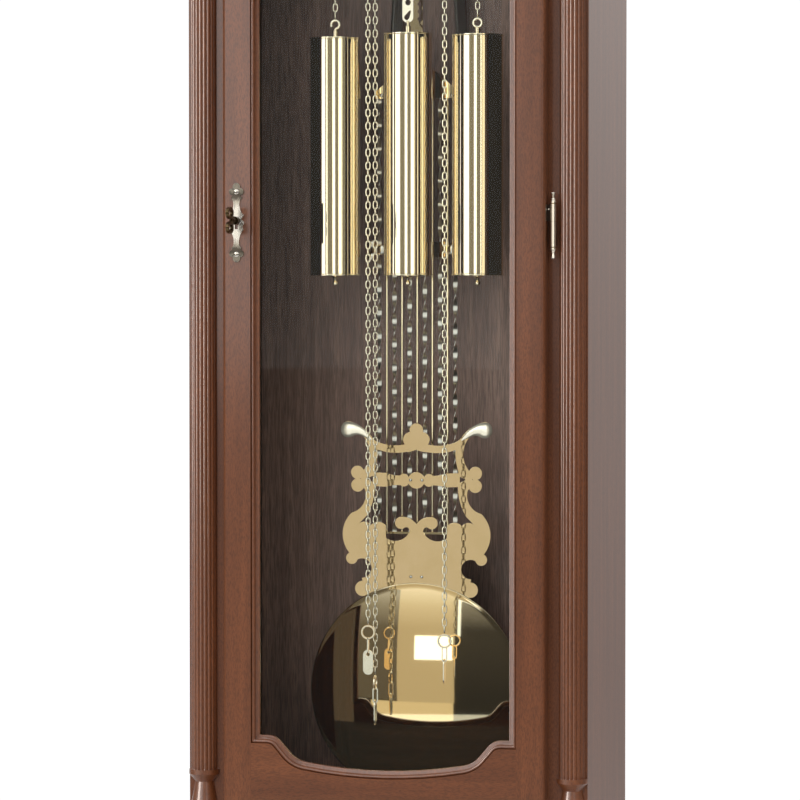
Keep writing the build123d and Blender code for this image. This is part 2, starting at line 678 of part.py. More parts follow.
with BuildPart() as third_wheel:
    arbor(*THIRD_ARBOR, 2, INNER_FRONT, INNER_BACK)
    arbor(*THIRD_ARBOR, PIVOT_R, *PIVOT_ENDS)
    with BuildSketch(front_plane(118)):
        with Locations(THIRD_ARBOR):
            toothed_disc(8, 3.5, 0.15, 1.0, 225 + 22.5, 0.36)
    extrude(amount=10)
    with BuildSketch(front_plane(142)):
        with Locations(THIRD_ARBOR):
            escape_direction = degrees(atan2(ESCAPE_ARBOR[1] - THIRD_ARBOR[1], ESCAPE_ARBOR[0] - THIRD_ARBOR[0]))
            toothed_disc(60, 25, 0.15, 1.0, escape_direction)
            crossings(7, 18.5)
    extrude(amount=2)
save(third_wheel, "third_wheel")

ESCAPE_TEETH = 30
ESCAPE_R = 18.0

with BuildPart() as escape_wheel:
    arbor(*ESCAPE_ARBOR, 2, INNER_FRONT, INNER_BACK)
    arbor(*ESCAPE_ARBOR, PIVOT_R, *PIVOT_ENDS)
    with BuildSketch(front_plane(146)):
        with Locations(ESCAPE_ARBOR):
            toothed_disc(8, 3.33, 0.15, 1.0, escape_direction + 180 + 22.5, 0.36)
    extrude(amount=10)
    with BuildSketch(front_plane(157)):
        with Locations(ESCAPE_ARBOR):
            Circle(ESCAPE_R - 3)
            # Raked teeth; gaps face the two pallets.
            with PolarLocations(0, ESCAPE_TEETH, start_angle=90 + 180 / ESCAPE_TEETH):
                Polygon(
                    (ESCAPE_R - 3.4, -1.1), (ESCAPE_R, -0.5), (ESCAPE_R, -0.1), (ESCAPE_R - 3.4, 0.7), align=None
                )
            crossings(5, 11.5)
    extrude(amount=2)
save(escape_wheel, "escape_wheel")

PALLET_ANGLE = 48.0  # four teeth each side of the top
PALLET_CLEAR = 0.6
PALLET = (
    (ESCAPE_R + PALLET_CLEAR) * sin(radians(PALLET_ANGLE)),
    ESCAPE_ARBOR[1] + (ESCAPE_R + PALLET_CLEAR) * cos(radians(PALLET_ANGLE)),
)

with BuildPart() as anchor:
    arbor(0, PENDULUM_Z, 2, INNER_FRONT, 174)
    arbor(0, PENDULUM_Z, PIVOT_R, PIVOT_ENDS[0], INNER_FRONT + 1)
    with BuildSketch(front_plane(157.5)):
        with Locations((0, PENDULUM_Z)):
            Circle(4.5)
        for side in (-1, 1):
            tip_x = side * PALLET[0]
            Polygon(
                (side * 1, PENDULUM_Z + 4), (tip_x + side * 3.6, PALLET[1] + 5.5),
                (tip_x + side * 0.8, PALLET[1] + 0.2), (tip_x - side * 0.1, PALLET[1] + 0.9),
                (tip_x + side * 0.2, PALLET[1] + 4.6), (side * 1, PENDULUM_Z - 1.5), align=None,
            )
    extrude(amount=3)
    # The crutch reaches down behind the back plate and ends in a pin through the leader's slot.
    with BuildSketch(front_plane(173)):
        with Locations((0, PENDULUM_Z)):
            Circle(5)
        Polygon((-3, PENDULUM_Z), (3, PENDULUM_Z), (2, 1508), (-2, 1508), align=None)
    extrude(amount=2)
    arbor(0, 1513, 1.4, 172, PENDULUM_DEPTH + 5)
save(anchor, "anchor")

# ---------------------------------------------------------------- dial and hands

DIAL_HALF = 128.0
DIAL_DEPTH = 60.0
CHAPTER_R = 116.0

with BuildPart() as dial:
    with BuildSketch(front_plane(DIAL_DEPTH + 2)):
        with BuildLine():
            Polyline((-92, 1668), (-DIAL_HALF, 1668), (-DIAL_HALF, 1404), (DIAL_HALF, 1404), (DIAL_HALF, 1668), (92, 1668))
            ThreePointArc((92, 1668), (0, 1706), (-92, 1668))
        make_face()
    extrude(amount=2)
    # A raised chapter disc and a boss in the arch.
    with BuildSketch(front_plane(DIAL_DEPTH)):
        with Locations((0, DIAL_Z)):
            Circle(CHAPTER_R)
        with Locations((0, 1680)):
            Circle(18)
    extrude(amount=1.5)
    with Locations(front_plane(DIAL_DEPTH, 0, DIAL_Z)):
        Cylinder(6.5, 10, mode=Mode.SUBTRACT)
    for x in (-70, 70):
        for z in (1445, 1612):
            arbor(x, z, 4, DIAL_DEPTH + 2, FRONT_PLATE)
save(dial, "dial")


def hand_outline(length, width, angle):
    """A spade hand as seen from the front, turned clockwise from twelve by angle, degrees."""
    with Locations(Location((0, DIAL_Z, 0), (0, 0, -angle))):
        Circle(6)
        Polygon((-width, 0), (width, 0), (width * 0.7, length * 0.56), (-width * 0.7, length * 0.56), align=None)
        Polygon(
            (-width * 0.7, length * 0.60), (width * 0.7, length * 0.60), (0.5, length), (-0.5, length), align=None
        )
        with Locations((0, length * 0.58)):
            Circle(width * 2.4)
            Circle(width * 1.3, mode=Mode.SUBTRACT)


with BuildPart() as minute_hand:
    with BuildSketch(front_plane(49.2)):
        hand_outline(106, 2.4, MINUTE_ANGLE)
        with Locations((0, DIAL_Z)):
            Circle(2.5, mode=Mode.SUBTRACT)
    extrude(amount=1.2)
save(minute_hand, "minute_hand")

with BuildPart() as hour_hand:
    with BuildSketch(front_plane(54.2)):
        hand_outline(72, 3.0, HOUR_ANGLE)
    extrude(amount=1.2)
    arbor(0, DIAL_Z, 5.5, 52.0, 96)
    with Locations(front_plane(75, 0, DIAL_Z)):
        Cylinder(2.5 + PIVOT_FIT, 60, mode=Mode.SUBTRACT)
save(hour_hand, "hour_hand")

# ---------------------------------------------------------------- chimes

BLOCK = (220.0, BACK_PANEL_DEPTH, 1604.0, 1622.0)  # depths and heights of the chime block
ROD_DEPTHS = (228.0, 240.0, 252.0, 264.0)
CHIME_R = 2.5
CHIME_ENDS = (1215.0, 1192.0, 1168.0, 1142.0)
CHIME_LEAN = 3.0  # degrees outward going down
CHIME_TOP_X = 20.0
HAMMER_X = 60.0
HAMMER_Z = 1540.0
HAMMER_R = 2.0
LUG_DEPTHS = (221.5, 246.0)

with BuildPart() as chime_block:
    board(-75, 75, *BLOCK)
    for depth in LUG_DEPTHS:
        for side in (-1, 1):
            board(side * HAMMER_X - 6, side * HAMMER_X + 6, depth - 1.5, depth + 1.5, HAMMER_Z - 6, BLOCK[2])
    for side in (-1, 1):
        with Locations(front_plane(230, side * HAMMER_X, HAMMER_Z)):
            Cylinder(HAMMER_R + PIVOT_FIT, 90, mode=Mode.SUBTRACT)
save(chime_block, "chime_block")

with BuildPart() as chime_rods:
    for side in (-1, 1):
        for depth, end in zip(ROD_DEPTHS, CHIME_ENDS):
            top = (side * CHIME_TOP_X, y_at(depth), BLOCK[2] - 1)
            with Locations(Location(top, (0, side * -CHIME_LEAN, 0))):
                Cylinder(CHIME_R, BLOCK[2] - end, align=(Align.CENTER, Align.CENTER, Align.MAX))
save(chime_rods, "chime_rods")

for side, name in ((-1, "hammers_left"), (1, "hammers_right")):
    with BuildPart() as hammers:
        arbor(side * HAMMER_X, HAMMER_Z, HAMMER_R, LUG_DEPTHS[0] - 2.5, ROD_DEPTHS[-1] + 3)
        for depth in ROD_DEPTHS:
            with BuildSketch(front_plane(depth + 1.5)):
                Polygon(
                    (side * (HAMMER_X - 4), HAMMER_Z - 4), (side * (HAMMER_X + 4), HAMMER_Z - 4),
                    (side * (HAMMER_X + 4), HAMMER_Z + 4), (side * 38, 1577), (side * 33, 1574), align=None,
                )
            extrude(amount=3)
            with Locations(Location((side * 34, y_at(depth), 1575), (0, 90, 0))):
                Cylinder(4, 14)
    save(hammers, name)

# ---------------------------------------------------------------- pendulum

PLATE_DEPTH = PENDULUM_DEPTH - 1.5  # front of the leader, the lyre and the middle bracket
PLATE_REAR = PLATE_DEPTH + LYRE_THICK
SCREW_DEPTH = PLATE_REAR + 1.0  # of the rating screw and its nut
ROD_R = 1.3
ROD_DEPTH = PLATE_REAR + 2.8
SPIRAL_W = 5.0
UPPER_BRACKET = (1213.0, 1254.0)  # bottom and top of the gabled upper bracket
MIDDLE_BRACKET = (1040.5, 1057.0)
FOOT_STRIP = (738.0, 740.5)
LEADER_TOP = 1599.0
CRUTCH_PIN_Z = 1513.0

with BuildPart() as pendulum_leader:
    with BuildSketch(front_plane(PLATE_REAR)):
        Polygon((-7, 1236), (7, 1236), (7, LEADER_TOP), (-7, LEADER_TOP), align=None)
        # A window with one scalloped edge.
        with Locations((3.6, 1307)):
            Rectangle(1.6, 24, mode=Mode.SUBTRACT)
        with Locations((3.2, 1299), (3.2, 1307), (3.2, 1315)):
            Circle(2, mode=Mode.SUBTRACT)
        with Locations((0, CRUTCH_PIN_Z)):
            Rectangle(3, 12, mode=Mode.SUBTRACT)
    extrude(amount=LYRE_THICK)
    # The spring block and the suspension spring.
    board(-5, 5, PENDULUM_DEPTH - 4, PENDULUM_DEPTH + 7, LEADER_TOP - 8, LEADER_TOP)
    board(-0.15, 0.15, PENDULUM_DEPTH - 4, PENDULUM_DEPTH + 7, LEADER_TOP - 1, PENDULUM_Z + 11)
save(pendulum_leader, "pendulum_leader")

# Right half of the middle bracket: a straight plate whose end opens into lobes.
MIDDLE_END = ((39.0, 1048.6, 5.4), (46.8, 1048.4, 5.2), (50.3, 1054.6, 4.2), (50.6, 1041.2, 4.2))

with BuildPart() as pendulum_brackets:
    # The upper bracket is a low gable; the rods hang from a thicker bar behind its foot.
    with BuildSketch(front_plane(PLATE_REAR + LYRE_THICK)):
        Polygon(
            (-46.5, UPPER_BRACKET[0]), (46.5, UPPER_BRACKET[0]), (46.5, UPPER_BRACKET[0] + 7),
            (7, UPPER_BRACKET[1]), (-7, UPPER_BRACKET[1]), (-46.5, UPPER_BRACKET[0] + 7), align=None,
        )
    extrude(amount=LYRE_THICK)
    board(-45, 45, PLATE_REAR + LYRE_THICK, ROD_DEPTH + 3, UPPER_BRACKET[0], UPPER_BRACKET[0] + 6)
    board(-32, 32, PLATE_DEPTH, PLATE_REAR, *MIDDLE_BRACKET)
    with BuildSketch(front_plane(PLATE_REAR)):
        for side in (-1, 1):
            Polygon((side * 30, 1044), (side * 47, 1044), (side * 47, 1053), (side * 30, 1053), align=None)
            for x, z, radius in MIDDLE_END:
                with Locations((side * x, z)):
                    Circle(radius)
    extrude(amount=LYRE_THICK)
    board(-44.5, 44.5, PLATE_REAR, ROD_DEPTH + 3, *FOOT_STRIP)
save(pendulum_brackets, "pendulum_brackets")

with BuildPart() as pendulum_rods:
    for place in range(-2, 3):
        with Locations((place * ROD_PITCH, y_at(ROD_DEPTH), FOOT_STRIP[1])):
            Cylinder(ROD_R, UPPER_BRACKET[0] - FOOT_STRIP[1], align=(Align.CENTER, Align.CENTER, Align.MIN))
save(pendulum_rods, "pendulum_rods")

with BuildPart() as pendulum_spirals:
    for place in range(-3, 3):
        x = (place + 0.5) * ROD_PITCH
        width = SPIRAL_W / 2
        board(x - width, x + width, ROD_DEPTH - 0.5, ROD_DEPTH + 0.5, FOOT_STRIP[1], UPPER_BRACKET[0])
save(pendulum_spirals, "pendulum_spirals")

# Right half of the lyre, from behind the bob up its curled side to the horn and the trefoil.
LYRE = (
    (0, 640), (56, 640), (60, 686), (67, 712), (74.6, 716.5),
    ("arc", (82.3, 737), (72.2, 761)), ("arc", (59.1, 770.8), (57.4, 786.8)), (62, 790), (62, 806),
    (58.2, 808.4), ("arc", (52.3, 824), (64.1, 849.2)), (68.6, 849.6), ("arc", (75, 846.2), (82, 853.5)),
    ("arc", (80.5, 859.2), (75.2, 861.2)), ("arc", (60, 854.2), (48.1, 841.6)), (44.7, 839.4),
    ("arc", (28, 835.1), (12.9, 836.2)), ("arc", (14.6, 843), (7.2, 849.6)), ("arc", (6.2, 856), (0, 859.1)),
)
# Right half of the window between the two crossbars.
LYRE_WINDOW_HIGH = (
    (0, 830.4), ("arc", (6, 828.4), (12, 827.7)), ("arc", (28, 827), (43.3, 830.3)),
    ("arc", (44.3, 816.5), (47.1, 805.3)), (33.1, 804.8), ("arc", (27, 802.9), (18, 802.2)),
    ("arc", (12.4, 803.9), (8.8, 800.4)), ("arc", (5, 804.5), (0, 805.9)),
)
# Right half of the window under the lower crossbar, down past the scallops and the scroll.
LYRE_WINDOW_LOW = (
    (0, 787.9), ("arc", (5, 789.3), (8.6, 793.4)), ("arc", (12.2, 790.3), (17.8, 791.6)),
    ("arc", (27, 791), (34.4, 789.6)), (46.1, 790.1), ("arc", (48.3, 774), (55.4, 757.7)), (64.4, 748.7),
    ("arc", (57.8, 751.2), (50.7, 747.6)), ("arc", (43.1, 751.2), (34.3, 747.6)), (33.7, 733.8),
    ("arc", (20, 730.9), (7.5, 741)), (8.6, 744.4), ("arc", (11.5, 745.6), (14, 744.3)),
    ("arc", (23.6, 749), (17.8, 756.9)), ("arc", (8, 755.6), (0, 749)),
)
LYRE_TRIANGLE = ((48.4, 801.6), (48.4, 794.7), (55, 798.1))
LYRE_LOBES = ((65.6, 805.1, 7.3), (65.4, 791.2, 7.3), (72.0, 711.1, 6.5), (60.0, 677.9, 8.4))
LYRE_NOTCH = (60.5, 700.3, 10.6)

with BuildPart() as pendulum_lyre:
    with BuildSketch(front_plane(PLATE_REAR)):
        for side in (1, -1):
            with BuildLine():
                trace(LYRE, side)
            make_face()
        for side in (1, -1):
            for window in (LYRE_WINDOW_HIGH, LYRE_WINDOW_LOW, LYRE_TRIANGLE):
                with BuildLine():
                    trace(window, side)
                make_face(mode=Mode.SUBTRACT)
            with Locations((side * LYRE_NOTCH[0], LYRE_NOTCH[1])):
                Circle(LYRE_NOTCH[2], mode=Mode.SUBTRACT)
            for x, z, radius in LYRE_LOBES:
                with Locations((side * x, z)):
                    Circle(radius)
    extrude(amount=LYRE_THICK)
    # The tail behind the bob and the screw for the rating nut.
    board(-10, 10, PLATE_DEPTH, PLATE_REAR, 466, 645)
    with Locations((0, y_at(SCREW_DEPTH), 428)):
        Cylinder(2.45, 50, align=(Align.CENTER, Align.CENTER, Align.MIN))
save(pendulum_lyre, "pendulum_lyre")

BOB_RIM = 2.0
BOB_FACE_R = BOB_R - 2.5  # the domed face, inside the rim


def bob_face(radius):
    """The depth of the domed face at a distance from the bob's middle."""
    dome_centre = PLATE_DEPTH - BOB_RIM + (BOB_DOME**2 - BOB_FACE_R**2) ** 0.5
    return dome_centre - (BOB_DOME**2 - radius**2) ** 0.5


with BuildPart() as pendulum_bob:
    with BuildSketch(Plane.XY.offset(BOB_Z)):
        with BuildLine():
            Polyline(
                (0, y_at(bob_face(0))), (0, y_at(PLATE_DEPTH)), (BOB_R, y_at(PLATE_DEPTH)),
                (BOB_R, y_at(PLATE_DEPTH - BOB_RIM)), (BOB_FACE_R, y_at(PLATE_DEPTH - BOB_RIM)),
            )
            ThreePointArc(
                (BOB_FACE_R, y_at(PLATE_DEPTH - BOB_RIM)),
                (BOB_FACE_R / 2, y_at(bob_face(BOB_FACE_R / 2))),
                (0, y_at(bob_face(0))),
            )
        make_face()
    revolve(axis=Axis((0, 0, BOB_Z), (0, 1, 0)))
save(pendulum_bob, "pendulum_bob")

NUT_Z = (440.0, 449.7)

with BuildPart() as rating_nut:
    with Locations((0, y_at(SCREW_DEPTH), NUT_Z[0])):
        Cylinder(8, NUT_Z[1] - NUT_Z[0], align=(Align.CENTER, Align.CENTER, Align.MIN))
        Cylinder(2.5, NUT_Z[1] - NUT_Z[0], align=(Align.CENTER, Align.CENTER, Align.MIN), mode=Mode.SUBTRACT)
save(rating_nut, "rating_nut")

# ---------------------------------------------------------------- weights, chains and pulls

HOOK_Z = 1290.0
HOOK_R = 5.2
WIRE_R = 1.1
HANGER = (1294.7, 1344.7)  # bottom and top of the centre weight's hanger plate
HANGER_W = 11.6
HANGER_HOLES = ((0, 1302.3), (0, 1315.2), (0, 1338.5))
RING_ABOVE_TAG = 46.0  # from the bottom of a pull's tag to the middle of its ring
PULL_RING_R = 6.8
TAG_LENGTH = 27.0
TAG_W = 11.0
TAG_THICK = 1.2
LINK_BAR = 1.2


def weight_outline(neck_top):
    """Right half of a weight, from the ball under it to the neck of its hook: (radius, z)."""
    rim = WEIGHT_R + 0.8
    return (
        (0, WEIGHT_BOTTOM - 11), (3, WEIGHT_BOTTOM - 8), (1.6, WEIGHT_BOTTOM - 5), (6, WEIGHT_BOTTOM),
        (rim, WEIGHT_BOTTOM), (rim, WEIGHT_BOTTOM + 2), (WEIGHT_R, WEIGHT_BOTTOM + 2),
        (WEIGHT_R, WEIGHT_TOP - 2), (rim, WEIGHT_TOP - 2), (rim, WEIGHT_TOP), (6, WEIGHT_TOP),
        (2.2, WEIGHT_TOP + 3), (2.2, neck_top), (0, neck_top),
    )


def wire_section(x, depth, z):
    """Section of a ring's wire, level with the ring's middle."""
    with BuildSketch(Plane.XY.offset(z)) as section:
        with Locations((x, y_at(depth))):
            RegularPolygon(WIRE_R, 6)
    return section.sketch


def crossed_strips(x, depth, z_low, z_high):
    """A chain hanging straight: two crossed strips as wide as its links."""
    board(x - CHAIN_W / 2, x + CHAIN_W / 2, depth - 0.9, depth + 0.9, z_low, z_high)
    board(x - 0.9, x + 0.9, depth - CHAIN_W / 2, depth + CHAIN_W / 2, z_low, z_high)


for train_name, weight_x, depth, side in TRAINS:
    tail_x = weight_x + 2 * side * CHAIN_R
    hung_on_plate = train_name == "centre"
    with BuildPart() as weight:
        with BuildSketch(front_plane(depth, weight_x)):
            with BuildLine():
                trace(weight_outline(HANGER[0] + 2 if hung_on_plate else HOOK_Z - HOOK_R))
            make_face()
        revolve(axis=Axis((weight_x, y_at(depth), 0), (0, 0, 1)))
        if hung_on_plate:
            # A round-ended hanger plate, pierced for the chain.
            with BuildSketch(front_plane(depth + 0.8)):
                with Locations((weight_x, sum(HANGER) / 2)):
                    SlotOverall(HANGER[1] - HANGER[0], HANGER_W, rotation=90)
                with Locations(HANGER_HOLES):
                    Circle(2.6, mode=Mode.SUBTRACT)
            extrude(amount=1.6)
        else:
            hook_axis = Axis((weight_x, y_at(depth), HOOK_Z), (0, 1, 0))
            revolve(wire_section(weight_x + HOOK_R, depth, HOOK_Z), axis=hook_axis)
    save(weight, f"weight_{train_name}")

    fall_foot = HANGER[1] if hung_on_plate else HOOK_Z + HOOK_R + WIRE_R
    with BuildPart() as chain_fall:
        crossed_strips(weight_x, depth, fall_foot + JOINT_GAP, CHAIN_WHEEL_Z)
    save(chain_fall, f"chain_fall_{train_name}")

    ring_z = TAG_BOTTOM[train_name] + RING_ABOVE_TAG
    with BuildPart() as chain_tail:
        crossed_strips(tail_x, depth, ring_z + PULL_RING_R + WIRE_R + JOINT_GAP, CHAIN_WHEEL_Z)
    save(chain_tail, f"chain_tail_{train_name}")

    # Only the left tag faces the front, and only the centre ring hangs edge-on.
    tag_face_on = train_name == "left"
    tag_plane = front_plane(depth + TAG_THICK / 2) if tag_face_on else Plane.YZ.offset(tail_x - TAG_THICK / 2)
    link_plane = Plane.YZ.offset(tail_x - TAG_THICK / 2) if tag_face_on else front_plane(depth + TAG_THICK / 2)
    tag_x, link_x = (tail_x, y_at(depth)) if tag_face_on else (y_at(depth), tail_x)
    tag_z = TAG_BOTTOM[train_name] + TAG_LENGTH / 2
    with BuildPart() as chain_pull:
        if train_name == "centre":
            ring_axis = Axis((tail_x, y_at(depth), ring_z), (1, 0, 0))
            revolve(wire_section(tail_x, depth + PULL_RING_R, ring_z), axis=ring_axis)
        else:
            ring_axis = Axis((tail_x, y_at(depth), ring_z), (0, 1, 0))
            revolve(wire_section(tail_x + PULL_RING_R, depth, ring_z), axis=ring_axis)
        with BuildSketch(tag_plane):
            with Locations((tag_x, tag_z)):
                SlotOverall(TAG_LENGTH, TAG_W, rotation=90)
            with Locations((tag_x, tag_z + TAG_LENGTH / 2 - 5)):
                Circle(2, mode=Mode.SUBTRACT)
        extrude(amount=TAG_THICK)
        # A link joins the tag to the ring, at right angles to the tag.
        with BuildSketch(link_plane):
            link_low = tag_z + TAG_LENGTH / 2 - 3.8
            link_high = ring_z - PULL_RING_R + LINK_BAR
            with Locations((link_x, (link_low + link_high) / 2)):
                outer_length = link_high - link_low
                inner_length = outer_length - 2 * LINK_BAR
                for length, width, mode in (
                    (outer_length, CHAIN_W, Mode.ADD), (inner_length, CHAIN_W - 2 * LINK_BAR, Mode.SUBTRACT),
                ):
                    Polygon(
                        (-width / 2, 2 - length / 2), (-width / 4, -length / 2), (width / 4, -length / 2),
                        (width / 2, 2 - length / 2), (width / 2, length / 2 - 2), (width / 4, length / 2),
                        (-width / 4, length / 2), (-width / 2, length / 2 - 2), align=None, mode=mode,
                    )
        extrude(amount=TAG_THICK)
    save(chain_pull, f"chain_pull_{train_name}")
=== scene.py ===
"""Look of the glazed floor clock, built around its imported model.

Everything is in metres in the model's own frame: +Z up, the clock faces -Y, and the origin
is on the floor under its middle. Sizes written in millimetres are turned to metres by MM.
"""

import json
import logging
import math
from dataclasses import dataclass
from enum import Enum

import bmesh
import bpy
from mathutils import Matrix, Vector

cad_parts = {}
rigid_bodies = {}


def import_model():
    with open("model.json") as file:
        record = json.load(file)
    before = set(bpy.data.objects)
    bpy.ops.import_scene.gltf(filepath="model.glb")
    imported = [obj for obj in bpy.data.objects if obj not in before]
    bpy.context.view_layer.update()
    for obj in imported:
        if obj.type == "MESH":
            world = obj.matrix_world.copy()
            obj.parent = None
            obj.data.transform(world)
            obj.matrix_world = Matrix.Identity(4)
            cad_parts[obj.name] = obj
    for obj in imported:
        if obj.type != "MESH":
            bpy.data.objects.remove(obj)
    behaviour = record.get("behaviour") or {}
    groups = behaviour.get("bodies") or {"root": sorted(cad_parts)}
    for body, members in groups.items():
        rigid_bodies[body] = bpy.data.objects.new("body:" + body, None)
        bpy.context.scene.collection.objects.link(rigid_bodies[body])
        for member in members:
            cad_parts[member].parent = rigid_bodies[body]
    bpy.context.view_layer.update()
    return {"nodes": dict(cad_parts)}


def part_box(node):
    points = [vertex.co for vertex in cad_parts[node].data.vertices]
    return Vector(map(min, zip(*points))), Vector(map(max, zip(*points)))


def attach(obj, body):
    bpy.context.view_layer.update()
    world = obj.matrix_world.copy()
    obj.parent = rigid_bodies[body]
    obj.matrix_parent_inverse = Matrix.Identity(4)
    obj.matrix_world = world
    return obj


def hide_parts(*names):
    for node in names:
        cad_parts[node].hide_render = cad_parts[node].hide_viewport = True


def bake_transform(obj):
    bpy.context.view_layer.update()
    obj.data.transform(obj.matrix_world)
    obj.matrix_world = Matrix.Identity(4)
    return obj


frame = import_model()

Piece = bpy.types.Object
Material = bpy.types.Material
Tree = bpy.types.NodeTree
Node = bpy.types.Node
Socket = bpy.types.NodeSocket
Outline = list[tuple[float, float]]  # points in millimetres
Stops = tuple[tuple[float, str], ...]  # a colour ramp's places and sRGB hex colours

MM = 0.001
LOG = logging.getLogger("floor_clock")

# The door's front face; depths run back from it, as in the model's source.
DOOR_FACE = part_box("door_stile_left")[0].y
TRAIN_NAMES = ("left", "centre", "right")
# Each weight's radius and the length of its tube, in millimetres.
WEIGHT_SIZES = {"left": (27.0, 256.0), "centre": (26.2, 260.5), "right": (27.5, 257.5)}

FACING = Matrix.Rotation(math.radians(90), 3, "X")  # turns an upright axis to face the front
UPRIGHT = Matrix.Identity(3)


class Grain(Enum):
    """The axes that a board's grain runs along: one, or two where boards meet round a corner."""

    UPRIGHT = (2,)
    ACROSS = (0,)
    AROUND = (0, 1)


def depth(distance_mm: float) -> float:
    """The y of a depth in millimetres behind the door's front face."""
    return DOOR_FACE + distance_mm * MM


def spot(x_mm: float, depth_mm: float, z_mm: float) -> Vector:
    """A point from its x, depth and height in millimetres."""
    return Vector((x_mm * MM, depth(depth_mm), z_mm * MM))


def linear(hex_code: str) -> tuple[float, float, float, float]:
    """Turns an sRGB hex colour to the linear values that shaders take, opaque.

    Args:
        hex_code: Six hex digits.

    Returns:
        Linear red, green and blue, and 1.
    """
    channels = [int(hex_code[i : i + 2], 16) / 255 for i in (0, 2, 4)]
    red, green, blue = (c / 12.92 if c <= 0.04045 else ((c + 0.055) / 1.055) ** 2.4 for c in channels)
    return red, green, blue, 1.0


def add_node(
    tree: Tree, kind: str, settings: dict | None = None, inputs: dict | None = None, stops: Stops = ()
) -> Node:
    """Adds a node with its settings and links.

    Args:
        tree: The node tree that it joins.
        kind: The node's type, without the words ShaderNode.
        settings: Its properties by name.
        inputs: By input name or number, a value, a socket, or a node for its first output.
        stops: The stops of a colour ramp.

    Returns:
        The node.
    """
    node = tree.nodes.new(f"ShaderNode{kind}")
    for name, value in (settings or {}).items():
        setattr(node, name, value)
    for name, value in (inputs or {}).items():
        if isinstance(value, (Node, Socket)):
            tree.links.new(value.outputs[0] if isinstance(value, Node) else value, node.inputs[name])
        else:
            node.inputs[name].default_value = value
    if stops:
        elements = node.color_ramp.elements
        while len(elements) < len(stops):
            elements.new(0.5)
        for element, (place, code) in zip(elements, stops):
            element.position = place
            element.color = linear(code)
    return node


def new_tree(name: str) -> tuple[Material, Tree]:
    """Makes an empty node material and gives it with its tree.

    Args:
        name: The material's name.

    Returns:
        The material and its node tree.
    """
    material = bpy.data.materials.new(name)
    material.use_nodes = True
    material.node_tree.nodes.clear()
    return material, material.node_tree


# ------------------------------------------------------------------ finishes


@dataclass(frozen=True)
class Metal:
    """A metal surface: polished, brushed, plated or antiqued."""

    name: str
    colour: str
    roughness: float
    shade: str = ""  # the colour of its darker patches, if it has them
    patch_mm: float = 12.0
    spread: float = 0.15  # half the width of the change from one colour to the other
    metallic: float = 1.0

    def material(self) -> Material:
        """Builds the material; the darker colour lies in soft patches."""
        material, tree = new_tree(self.name)
        colour = linear(self.colour)
        if self.shade:
            place = add_node(tree, "TexCoord").outputs["Object"]
            noise = {"Vector": place, "Scale": 1 / (self.patch_mm * MM), "Detail": 3.0}
            cloud = add_node(tree, "TexNoise", inputs=noise)
            stops = ((0.5 - self.spread, self.shade), (0.5 + self.spread, self.colour))
            colour = add_node(tree, "ValToRGB", inputs={"Fac": cloud}, stops=stops)
        look = {"Base Color": colour, "Metallic": self.metallic, "Roughness": self.roughness}
        shader = add_node(tree, "BsdfPrincipled", inputs=look)
        add_node(tree, "OutputMaterial", inputs={"Surface": shader})
        return material


@dataclass(frozen=True)
class ShadedBehind:
    """Satin nickel knuckles; what lies behind them is painted dark, as painted shade for the gap by the
    door's edge.
    """

    name: str
    front_mm: float = 12.4  # the depth behind which the painted shade begins
    fade_mm: float = 0.4
    colour: str = "e6decd"
    # The colour painted behind the knuckles as shade.
    shade_colour: str = "2c1a11"
    roughness: float = 0.28
    specular: float = 0.1  # the painted shade is dull

    def material(self) -> Material:
        """Builds the material, which turns from metal to painted shade with depth."""
        material, tree = new_tree(self.name)
        place = add_node(tree, "TexCoord").outputs["Object"]
        height = add_node(tree, "SeparateXYZ", inputs={"Vector": place}).outputs["Y"]
        edges = {"From Min": depth(self.front_mm + self.fade_mm), "From Max": depth(self.front_mm)}
        bare = add_node(tree, "MapRange", inputs={"Value": height, **edges})
        mixed = {"Factor": bare, 6: linear(self.shade_colour), 7: linear(self.colour)}
        colour = add_node(tree, "Mix", {"data_type": "RGBA"}, mixed).outputs[2]
        look = {"Base Color": colour, "Metallic": bare, "Roughness": self.roughness}
        look["Specular IOR Level"] = self.specular
        shader = add_node(tree, "BsdfPrincipled", inputs=look)
        add_node(tree, "OutputMaterial", inputs={"Surface": shader})
        return material


@dataclass(frozen=True)
class PaintedSheenPlate:
    """Nickel silver with light painted into its colour by height: a painted highlight round the keyhole,
    painted shade further out, and a lighter band again near the ends.
    """

    name: str
    middle_m: float = 1.075  # the keyhole's height
    # The bands paint a highlight round the keyhole and shade further out.
    bands: Stops = (  # distance from the keyhole as a share of reach_m
        (0.40, "faf6ee"),
        (0.56, "c9c2b5"),
        (0.66, "69625a"),
        (0.76, "5d574e"),
        (0.86, "948e83"),
    )
    reach_m: float = 0.040
    patch_mm: float = 3.0
    waver: float = 0.16  # how far the patches shift a band, as a share of reach_m
    roughness: float = 0.26

    def material(self) -> Material:
        """Builds the material; the bands of painted highlight and shade lie by height and are broken up by a
        fine noise.
        """
        material, tree = new_tree(self.name)
        place = add_node(tree, "TexCoord").outputs["Object"]
        height = add_node(tree, "SeparateXYZ", inputs={"Vector": place}).outputs["Z"]
        noise = {"Vector": place, "Scale": 1 / (self.patch_mm * MM), "Detail": 3.0}
        cloud = add_node(tree, "TexNoise", inputs=noise)
        off = add_node(tree, "Math", {"operation": "SUBTRACT"}, {0: height, 1: self.middle_m})
        away = add_node(tree, "Math", {"operation": "ABSOLUTE"}, {0: off})
        share = add_node(tree, "MapRange", inputs={"Value": away, "From Max": self.reach_m})
        shifted_share = add_node(tree, "Math", {"operation": "MULTIPLY_ADD"}, {0: cloud, 1: self.waver, 2: share})
        band = add_node(tree, "Math", {"operation": "SUBTRACT"}, {0: shifted_share, 1: self.waver / 2})
        colour = add_node(tree, "ValToRGB", inputs={"Fac": band}, stops=self.bands)
        look = {"Base Color": colour, "Metallic": 1.0, "Roughness": self.roughness}
        shader = add_node(tree, "BsdfPrincipled", inputs=look)
        add_node(tree, "OutputMaterial", inputs={"Surface": shader})
        return material


